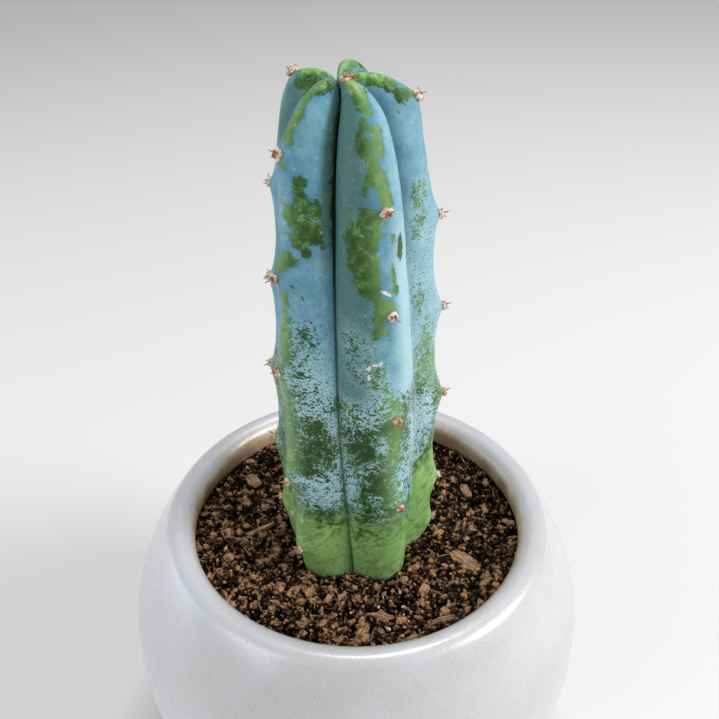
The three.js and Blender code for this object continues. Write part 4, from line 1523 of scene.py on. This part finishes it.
# %% Painted shade: mark how deep each crumb's surface lies, to darken the deep ones and the back
for piece in (bed, coarse, big, fine_crumbs):
    soil_points = positions(piece.data) / MM
    above_level = soil_points[:, 2] - soil_level(soil_points[:, 0], soil_points[:, 1])
    # painted shade, darker towards the back
    back_shade = 0.14 * smoothstep(soil_points[:, 1], -10, 35)
    set_attribute(piece.data, "dry", np.clip((above_level + 0.1) / 1.8 - back_shade, 0, 1))
print("crumb tops stand up to", round(float(above_level.max()), 1), "mm above the soil's level")

# %% Mix the peat, the perlite and the slivers
# from black in the painted shade of the gaps to tan on the tops
PEAT_STOPS = ((0.0, (0.002, 0.0008, 0.0004)), (0.32, (0.018, 0.0065, 0.002)),
              (0.62, (0.120, 0.050, 0.019)), (1.0, (0.52, 0.305, 0.165)))
# the colour of painted glints
PEAT_GLINT = (0.85, 0.66, 0.48)
PERLITE_SHADE = (0.50, 0.42, 0.33)
PERLITE_LIGHT = (0.80, 0.76, 0.68)
STRAW_STOPS = ((0.0, (0.12, 0.060, 0.028)), (0.5, (0.33, 0.19, 0.095)), (1.0, (0.62, 0.43, 0.26)))

peat = Finish("peat")
dust = peat.noise(1.5, 4, 0.7)
crumb_grain = peat.noise(0.5, 4, 0.7)
dry = peat.attribute("dry")
# each crumb's tone and noise, with painted shade low in the gaps and painted light on the tops
peat_tone_and_shade = peat.attribute("tone") * 0.34 + dry * 0.74 + (dust - 0.5) * 1.4 + (crumb_grain - 0.5) * 1.3
# painted highlights: small bright glints on the higher surfaces
glints = peat.noise(0.55, 2, 0.5).between(0.68, 0.74) * dry
peat_colour = peat.mix(glints * 0.8, peat.ramp(peat_tone_and_shade * 1.8 - 0.50, *PEAT_STOPS), PEAT_GLINT)
peat.surface(Base_Color=peat_colour, Roughness=0.55 + dust * 0.3, Normal=peat.bump(crumb_grain, 0.7),
             Specular_IOR_Level=0.16)

perlite = Finish("perlite")
foam = perlite.noise(0.4, 3)
perlite.surface(Base_Color=perlite.mix(foam, PERLITE_SHADE, PERLITE_LIGHT), Roughness=0.85,
                Normal=perlite.bump(foam, 0.2))

straw = Finish("slivers")
fibre = straw.noise(0.6, 3)
straw_colour = straw.ramp(straw.attribute("tone") * 0.8 + (fibre - 0.5) * 0.6 + 0.1, *STRAW_STOPS)
straw.surface(Base_Color=straw_colour, Roughness=0.8, Normal=straw.bump(fibre, 0.15))

for piece, finish in ((bed, peat), (coarse, peat), (big, peat), (fine_crumbs, peat),
                      (white, perlite), (slivers, straw)):
    smooth(piece, 30)
    keep(piece, "soil", finish)

# %% [markdown]
# ## Bark chips and the twig
#
# Six chips of bark and a long splinter lie on the crumbs. Each one is its outline, filled and extruded to
# its thickness, bevelled, and then roughened along its fibres. Its unwrapping runs along the piece, so
# the fibres of the finish do too.

# %% Model a chip from its outline
BEVEL_SHARE = 0.16
VOXEL = 0.17


def chip_piece(name, outline, thickness, seed):
    """A flat chip with its underside at 0, in mm, its fibres along X."""
    bpy.ops.object.select_all(action="DESELECT")
    bpy.ops.mesh.primitive_circle_add(vertices=len(outline), radius=1, fill_type="NGON")
    piece = active_object(name)
    set_positions(piece.data, [(x, y, 0) for x, y in outline])
    edit_all()
    bpy.ops.mesh.extrude_region_move(TRANSFORM_OT_translate={"value": (0, 0, thickness)})
    bpy.ops.mesh.select_all(action="SELECT")
    bpy.ops.mesh.normals_make_consistent(inside=False)
    bpy.ops.mesh.quads_convert_to_tris()
    stop_editing()
    apply_modifier(piece, "BEVEL", width=thickness * BEVEL_SHARE, segments=2, limit_method="ANGLE")
    apply_modifier(piece, "REMESH", mode="VOXEL", voxel_size=VOXEL)
    roughen_chip(piece, thickness, seed)
    return piece


def roughen_chip(piece, thickness, seed):
    """Fibres, splits and a warp, as height over the chip; the underside stays put."""
    points = positions(piece.data)
    for point in points:
        x, y, z = point
        fibres = noise.noise(Vector((x / 4.5, y / 0.42, seed)))
        lumps = noise.noise(Vector((x / 2.4, y / 1.6, seed + 9)))
        top = z / thickness
        point[2] += top * (0.20 * fibres + 0.22 * lumps)
        point[1] += 0.16 * noise.noise(Vector((x / 0.8, z / 0.6, seed + 4)))
        point[0] += 0.35 * noise.noise(Vector((y / 0.35, z / 0.5, seed + 6)))
    set_positions(piece.data, points)


# %% Lay each chip on the soil
def unwrap_along(piece):
    """The unwrapping is the chip's own plane, in metres, with its fibres along U."""
    layer = piece.data.uv_layers.new(name="UVMap")
    points = positions(piece.data)
    corners = np.array([loop.vertex_index for loop in piece.data.loops])
    layer.data.foreach_set("uv", (points[corners][:, :2] * MM).ravel())


def turned(degrees, axis):
    return Matrix.Rotation(math.radians(degrees), 4, axis)


def lay(piece, place, turn, tilt):
    """Tilts and turns a chip and sets it into the soil, and scales it from mm to metres."""
    x, y = place
    laid = turned(turn, "Z") @ (turned(tilt[1], "Y") @ turned(tilt[0], "X"))
    moved = Matrix.Translation((x, y, soil_level(x, y) - CHIP_SINK)) @ laid
    piece.data.transform(Matrix.Scale(MM, 4) @ moved)


# %% Mix the bark
BARK_STOPS = ((0.40, (0.040, 0.017, 0.007)), (0.49, (0.200, 0.100, 0.044)),
              (0.58, (0.430, 0.255, 0.125)), (0.72, (0.680, 0.480, 0.290)))

bark = Finish("bark")
strands = bark.noise(0.8, 4, 0.65, bark.drawn_out(0, (0.16, 1.5, 1)))
bark_colour = bark.ramp(strands * 0.8 + bark.noise(2.6, 3) * 0.25, *BARK_STOPS)
bark.surface(Base_Color=bark_colour, Roughness=0.82, Normal=bark.bump(strands, 0.35))

# %% Make the chips and the twig
for number, (name, place, turn, tilt, thickness, outline) in enumerate(CHIPS):
    chip = chip_piece(name + "_wood", outline, thickness, number * 3.7)
    unwrap_along(chip)
    lay(chip, place, turn, tilt)
    smooth(chip, 50)
    keep(chip, name, bark)

# %% Put the models away
for model in [spine, *cushions, *lumps, *grains]:
    bpy.data.objects.remove(model)

# %% [markdown]
# ## Floor and light
#
# The photograph has soft light from a large window on the right, with a weaker one on the left. Four
# area lights and a pale sky do the same, over a plain pale floor.

# %% Lay the floor
FLOOR_SIZE = 40
PAPER = (0.78, 0.77, 0.76, 1)

bpy.ops.object.select_all(action="DESELECT")
bpy.ops.mesh.primitive_plane_add(size=FLOOR_SIZE)
floor = active_object("floor")
paper = Finish("floor_paper")
paper.surface(Base_Color=PAPER, Roughness=0.9, Specular_IOR_Level=0.2)
floor.data.materials.append(paper.material)


# %% Hang the lights
# each light: name, place, the point that it faces, size in metres, watts and colour
WINDOWS = [
    ("window_right", (1.15, -0.30, 0.80), (0, 0, 0.14), (0.6, 0.6), 14.4, (1.0, 0.99, 0.97)),
    ("window_left", (-1.00, -0.75, 0.65), (0, 0, 0.12), (0.7, 0.8), 4.6, (0.95, 0.97, 1.0)),
    ("window_low", (-0.80, 0.12, 0.22), (0, 0, 0.10), (0.5, 0.4), 1.0, (0.90, 0.95, 1.0)),
    ("window_top", (0.10, 0.30, 1.35), (0, 0, 0.12), (0.4, 0.4), 6, (1, 1, 1)),
]
SKY = (0.95, 0.97, 1.0, 1)
SKY_STRENGTH = 0.40


def softbox(name, place, aim, size, power, colour):
    """A rectangular light that faces a point."""
    light = bpy.data.lights.new(name, "AREA")
    light.shape = "RECTANGLE"
    light.size, light.size_y = size
    light.energy = power
    light.color = colour
    lamp = bpy.data.objects.new(name, light)
    lamp.location = place
    lamp.rotation_euler = (Vector(aim) - Vector(place)).to_track_quat("-Z", "Y").to_euler()
    lamp.visible_camera = False
    bpy.context.scene.collection.objects.link(lamp)


for window in WINDOWS:
    softbox(*window)

world = bpy.data.worlds.new("sky")
world.use_nodes = True
background = world.node_tree.nodes["Background"].inputs
background["Color"].default_value = SKY
background["Strength"].default_value = SKY_STRENGTH
bpy.context.scene.world = world
